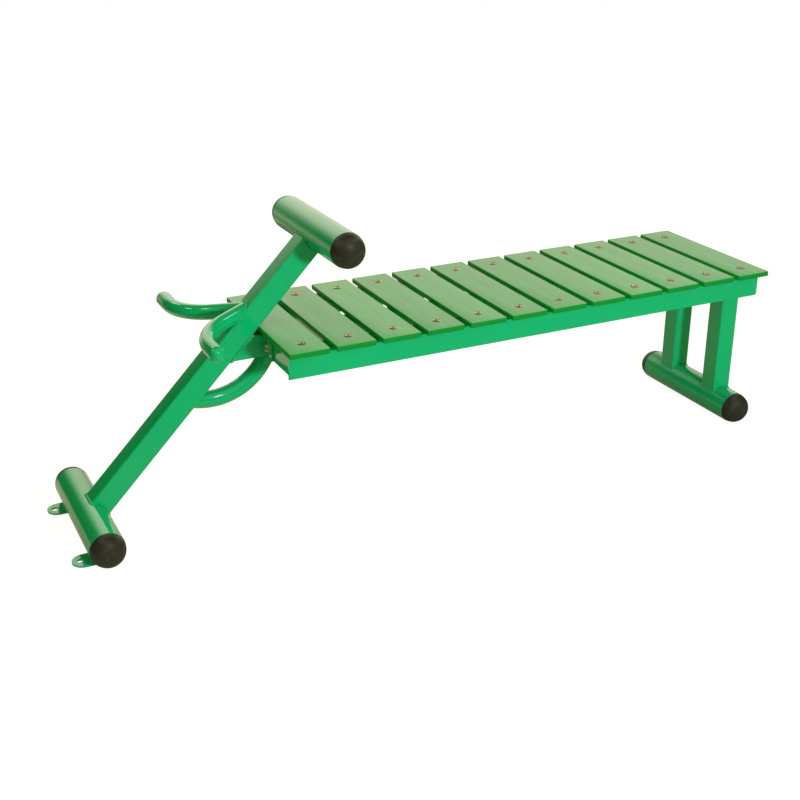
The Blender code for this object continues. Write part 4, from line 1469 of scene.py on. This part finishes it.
@dataclass(frozen=True)
class Studio:
    """Camera, light, backdrop and floor of the photograph."""

    camera_place: Vector = Vector((-1.2153, -2.3976, 1.3387))
    yaw: float = 0.453
    pitch: float = 0.4152
    roll: float = -0.00175
    lens_share: float = 1.55            # focal length over picture width
    sensor_mm: float = 36.0
    sight: float = 60.0                 # how far the camera sees
    key_aim: Vector = Vector((-0.25, 0, 0.56))
    key_heading: Vector = Vector((0.17, -0.97, 0.156))
    key_distance: float = 3.3
    key_size: float = 0.34
    key_level: float = 0.62
    glint_distance: float = 2.0
    glint_size: float = 0.3
    glints: tuple[tuple[str, tuple[float, float, float], float], ...] = (
        ("front", (0.08, -0.87, 0.48), 18.0), ("left", (-0.62, 0.02, 0.79), 9.0),
        ("edge", (-0.75, 0.28, 0.6), 6.0), ("right", (0.72, -0.03, 0.69), 9.0),
        ("far_right", (0.81, 0.32, 0.49), 4.0),
        ("back", (-0.34, 0.78, 0.5), 3.5))      # name, heading and radiance of each
    sheet_colour: str = "#FFF9E6"
    sheet_depth: float = 3.25           # from the bench's middle back to the sheet
    sheet_left: float = -2.2
    sheet_right: float = 5.5
    sheet_top: float = 3.4
    sheet_level: float = 1.7
    sheet_fades: tuple[tuple[str, float, float, float, float], ...] = (
        ("X", -2.15, -0.3, 0.0, 1.0), ("X", 0.0, 1.4, 1.0, 0.75), ("Z", 0.0, 1.6, 0.62, 1.0),
        ("Z", 2.3, 3.4, 1.0, 0.2))              # axis, start, end and the share of light at each
    dim_level: float = 0.02             # of what the gloss mirrors past the sheet
    ceiling_level: float = 0.5
    ceiling_heading: Vector = Vector((-0.1, -0.62, 0.78))
    ceiling_fade: tuple[float, float] = (0.7, 0.95)     # cosine from the heading, dim to bright
    fill_colour: str = "#FFF6B4"
    fill_heading: Vector = Vector((0.75, 0.25, 0.6))
    fill_low: float = 0.45
    fill_high: float = 0.95
    paper_colour: str = "#DCCCB0"
    paper_shown: float = 0.92
    shadow_colour: str = "#8C8C8C"      # the lit part of the shown paper, which the shadow takes
    backdrop_colour: str = "#FFFFFF"
    paper_level: float = 0.2            # how bright the gloss mirrors the paper
    paper_edge: tuple[float, float] = (-1.4, -1.0)
    # Painted pools of light: glowing patches that the gloss sees on the sheet and the floor, which no
    # lamp casts
    pools: tuple[tuple[tuple[float, float, float], float, float], ...] = (
        ((-0.85, 0.1, 0), 0.9, 0.2), ((-0.62, 0.68, 0), 0.85, 0.72),
        ((-1.65, 2.75, -0.1), 1.4, 0.6), ((-0.45, 1.8, 0), 0.5, 0.8),
        ((0.5, 0.5, 0), 0.7, 0.3))              # centre, radius and added light of each
    pool_core: float = 3.0              # radius of a pool over that of its even middle
    floor_size: float = 14.0

    def build(self) -> None:
        """Builds the camera, the lamps and what stands round the bench."""
        self.build_camera()
        self.build_lamps()
        self.build_world()
        self.build_sheet()
        self.build_floor()
        bpy.context.scene.view_settings.view_transform = "Standard"

    def build_camera(self) -> None:
        """Sets the camera where the photograph was taken from."""
        data = bpy.data.cameras.new("camera")
        data.sensor_width = self.sensor_mm
        data.lens = data.sensor_width * self.lens_share
        data.clip_end = self.sight
        camera = bpy.data.objects.new("camera", data)
        bpy.context.scene.collection.objects.link(camera)
        turn = (Matrix.Rotation(-self.yaw, 4, "Z") @ Matrix.Rotation(math.pi / 2 - self.pitch, 4, "X")
                @ Matrix.Rotation(self.roll, 4, "Z"))
        camera.matrix_world = Matrix.Translation(self.camera_place) @ turn
        bpy.context.scene.camera = camera

    def build_lamps(self) -> None:
        """Hangs the main light low in front, as the shadow on the post shows, and the glints.

        The photograph's gloss mirrors softer lamps than the one that throws the shadow, so the
        main light is a lamp that the gloss misses, and the glints are lamps that only it shows.
        """
        key = self.hang("key", self.key_heading.normalized() * self.key_distance, self.key_size,
                        self.key_level * (math.pi * self.key_distance) ** 2)
        key.visible_glossy = False
        for name, heading, radiance in self.glints:
            lamp = self.hang(name + "_glint", Vector(heading) * self.glint_distance,
                             self.glint_size, radiance * (math.pi * self.glint_size / 2) ** 2)
            lamp.visible_diffuse = False

    def hang(self, name: str, offset: Vector, size: float, power: float) -> bpy.types.Object:
        """Hangs one round lamp.

        Args:
            name: Name of the lamp.
            offset: From the place that it lights to the lamp.
            size: Diameter of the lamp.
            power: Watts.

        Returns:
            The lamp.
        """
        data = bpy.data.lights.new(name, "AREA")
        data.shape = "DISK"
        data.size = size
        data.energy = power
        lamp = bpy.data.objects.new(name, data)
        bpy.context.scene.collection.objects.link(lamp)
        lamp.location = self.key_aim + offset
        lamp.rotation_euler = offset.to_track_quat("Z", "Y").to_euler()
        lamp.visible_camera = False
        return lamp

    def build_sheet(self) -> None:
        """An upright sheet that glows for the gloss alone, brightest high and in the middle."""
        mesh = bpy.data.meshes.new("sheet")
        mesh.from_pydata([(self.sheet_left, 0, 0), (self.sheet_right, 0, 0),
                          (self.sheet_right, 0, self.sheet_top),
                          (self.sheet_left, 0, self.sheet_top)], [], [(0, 1, 2, 3)])
        material = bpy.data.materials.new("sheet")
        tree = emptied(material)
        place = add_node(tree, "ShaderNodeTexCoord").outputs["Object"]
        parts = add_node(tree, "ShaderNodeSeparateXYZ", inputs={0: place}).outputs
        level: bpy.types.NodeSocket | float = self.sheet_level
        for axis, start, end, first, last in self.sheet_fades:
            share = add_node(tree, "ShaderNodeMapRange", {"interpolation_type": "SMOOTHSTEP"}, {
                "Value": parts[axis], "From Min": start, "From Max": end, "To Min": first,
                "To Max": last})
            level = add_node(tree, "ShaderNodeMath", {"operation": "MULTIPLY"}, {
                0: level, 1: share.outputs[0]}).outputs[0]
        glow = add_node(tree, "ShaderNodeEmission", inputs={
            "Color": linear(self.sheet_colour), "Strength": self.add_pools(tree, level)})
        add_node(tree, "ShaderNodeOutputMaterial", inputs={"Surface": glow.outputs[0]})
        mesh.materials.append(material)
        sheet = make_object("sheet", mesh)
        sheet.location = (0, self.sheet_depth, -GAP)
        sheet.visible_camera = sheet.visible_diffuse = sheet.visible_shadow = False

    def add_pools(self, tree: bpy.types.NodeTree,
                  level: bpy.types.NodeSocket) -> bpy.types.NodeSocket:
        """Adds the painted pools of light, which glow, to a level.

        Args:
            tree: Tree of the material.
            level: What the material glows with outside the pools.

        Returns:
            The level with the pools.
        """
        place = add_node(tree, "ShaderNodeNewGeometry").outputs["Position"]
        for centre, radius, brightness in self.pools:
            away = add_node(tree, "ShaderNodeVectorMath", {"operation": "DISTANCE"}, {
                0: place, 1: centre})
            pool = add_node(tree, "ShaderNodeMapRange", {"interpolation_type": "SMOOTHSTEP"}, {
                "Value": away.outputs["Value"], "From Min": radius,
                "From Max": radius / self.pool_core,
                "To Max": brightness})
            level = add_node(tree, "ShaderNodeMath", {"operation": "ADD"}, {
                0: level, 1: pool.outputs[0]}).outputs[0]
        return level

    def build_world(self) -> None:
        """An even fill, white to the camera and dim to the gloss."""
        world = bpy.data.worlds.new("studio")
        bpy.context.scene.world = world
        tree = emptied(world)
        path = add_node(tree, "ShaderNodeLightPath").outputs
        heading = add_node(tree, "ShaderNodeTexCoord").outputs["Generated"]
        overhead = add_node(tree, "ShaderNodeVectorMath", {"operation": "DOT_PRODUCT"}, {
            0: heading, 1: self.fill_heading})
        soft = add_node(tree, "ShaderNodeMapRange", inputs={
            "Value": overhead.outputs["Value"], "To Min": self.fill_low, "To Max": self.fill_high})
        above = add_node(tree, "ShaderNodeVectorMath", {"operation": "DOT_PRODUCT"}, {
            0: heading, 1: self.ceiling_heading})
        ceiling = add_node(tree, "ShaderNodeMapRange", {"interpolation_type": "SMOOTHSTEP"}, {
            "Value": above.outputs["Value"], "From Min": self.ceiling_fade[0],
            "From Max": self.ceiling_fade[1], "To Min": self.dim_level,
            "To Max": self.ceiling_level})
        direct = add_node(tree, "ShaderNodeMath", {"operation": "MAXIMUM"}, {
            0: path["Is Glossy Ray"], 1: path["Is Transmission Ray"]})
        fill = add_node(tree, "ShaderNodeBackground", inputs={
            "Color": linear(self.fill_colour), "Strength": soft.outputs[0]})
        gloss = add_node(tree, "ShaderNodeBackground", inputs={
            "Color": linear(self.sheet_colour), "Strength": ceiling.outputs[0]})
        white = add_node(tree, "ShaderNodeBackground", inputs={
            "Color": linear(self.backdrop_colour)})
        lights = add_node(tree, "ShaderNodeMixShader", inputs={
            0: direct.outputs[0], 1: fill.outputs[0], 2: gloss.outputs[0]})
        shown = add_node(tree, "ShaderNodeMixShader", inputs={
            0: path["Is Camera Ray"], 1: lights.outputs[0], 2: white.outputs[0]})
        add_node(tree, "ShaderNodeOutputWorld", inputs={"Surface": shown.outputs[0]})

    def build_floor(self) -> None:
        """A sheet of pale paper, shown white as the backdrop is, that keeps a faint shadow."""
        half = self.floor_size / 2
        mesh = bpy.data.meshes.new("floor")
        corners = [(-half, -half, 0), (half, -half, 0), (half, half, 0), (-half, half, 0)]
        mesh.from_pydata(corners, [], [(0, 1, 2, 3)])
        material = bpy.data.materials.new("floor")
        tree = emptied(material)
        path = add_node(tree, "ShaderNodeLightPath").outputs
        place = add_node(tree, "ShaderNodeTexCoord").outputs["Object"]
        across = add_node(tree, "ShaderNodeSeparateXYZ", inputs={0: place}).outputs["X"]
        # To the gloss the paper is a painted reflection: it glows, dark past its edge and brighter in
        # the painted pools of light, instead of being lit
        level = add_node(tree, "ShaderNodeMapRange", {"interpolation_type": "SMOOTHSTEP"}, {
            "Value": across, "From Min": self.paper_edge[0], "From Max": self.paper_edge[1],
            "To Max": self.paper_level})
        paper = add_node(tree, "ShaderNodeBsdfDiffuse", inputs={
            "Color": linear(self.paper_colour)})
        painted_floor_glow = add_node(tree, "ShaderNodeEmission", inputs={
            "Color": linear(self.paper_colour),
            "Strength": self.add_pools(tree, level.outputs[0])})
        tint = add_node(tree, "ShaderNodeBsdfDiffuse", inputs={
            "Color": linear(self.shadow_colour)})
        glow = add_node(tree, "ShaderNodeEmission", inputs={"Strength": self.paper_shown})
        shown = add_node(tree, "ShaderNodeAddShader", inputs={
            0: tint.outputs[0], 1: glow.outputs[0]})
        lit = add_node(tree, "ShaderNodeMixShader", inputs={
            0: path["Is Glossy Ray"], 1: paper.outputs[0], 2: painted_floor_glow.outputs[0]})
        mix = add_node(tree, "ShaderNodeMixShader", inputs={
            0: path["Is Camera Ray"], 1: lit.outputs[0], 2: shown.outputs[0]})
        add_node(tree, "ShaderNodeOutputMaterial", inputs={"Surface": mix.outputs[0]})
        mesh.materials.append(material)
        floor = make_object("floor", mesh)
        floor.location.z = -GAP


def main() -> None:
    """Builds the bench's sub-assemblies in order, then the studio."""
    logging.basicConfig(level=logging.INFO, format="%(name)s: %(message)s")
    shelf = FinishShelf()
    foot, bar, rear = (RoundTube(name) for name in
                       ("front_foot_tube", "leg_bar_tube", "rear_foot_tube"))
    leg_low, leg_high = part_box("rear_leg_left")
    post = PostLine(foot, bar, leg_high.x - leg_low.x)
    for tube, cap in ((foot, "front_foot_cap"), (bar, "leg_bar_cap"), (rear, "rear_foot_cap")):
        CappedTube(tube, cap).build(shelf)
    SteelWork().build(shelf)
    handles = Handles(post)
    handles.build(shelf)
    brace = Brace(post)
    brace.build(shelf)
    SlatDeck(RepeatTree()).build(shelf)
    FlangeBolts().build(shelf)
    WeldSeams(post, rear, handles, brace, BeadTree()).build(shelf)
    Studio().build()


if __name__ == "__main__":
    main()
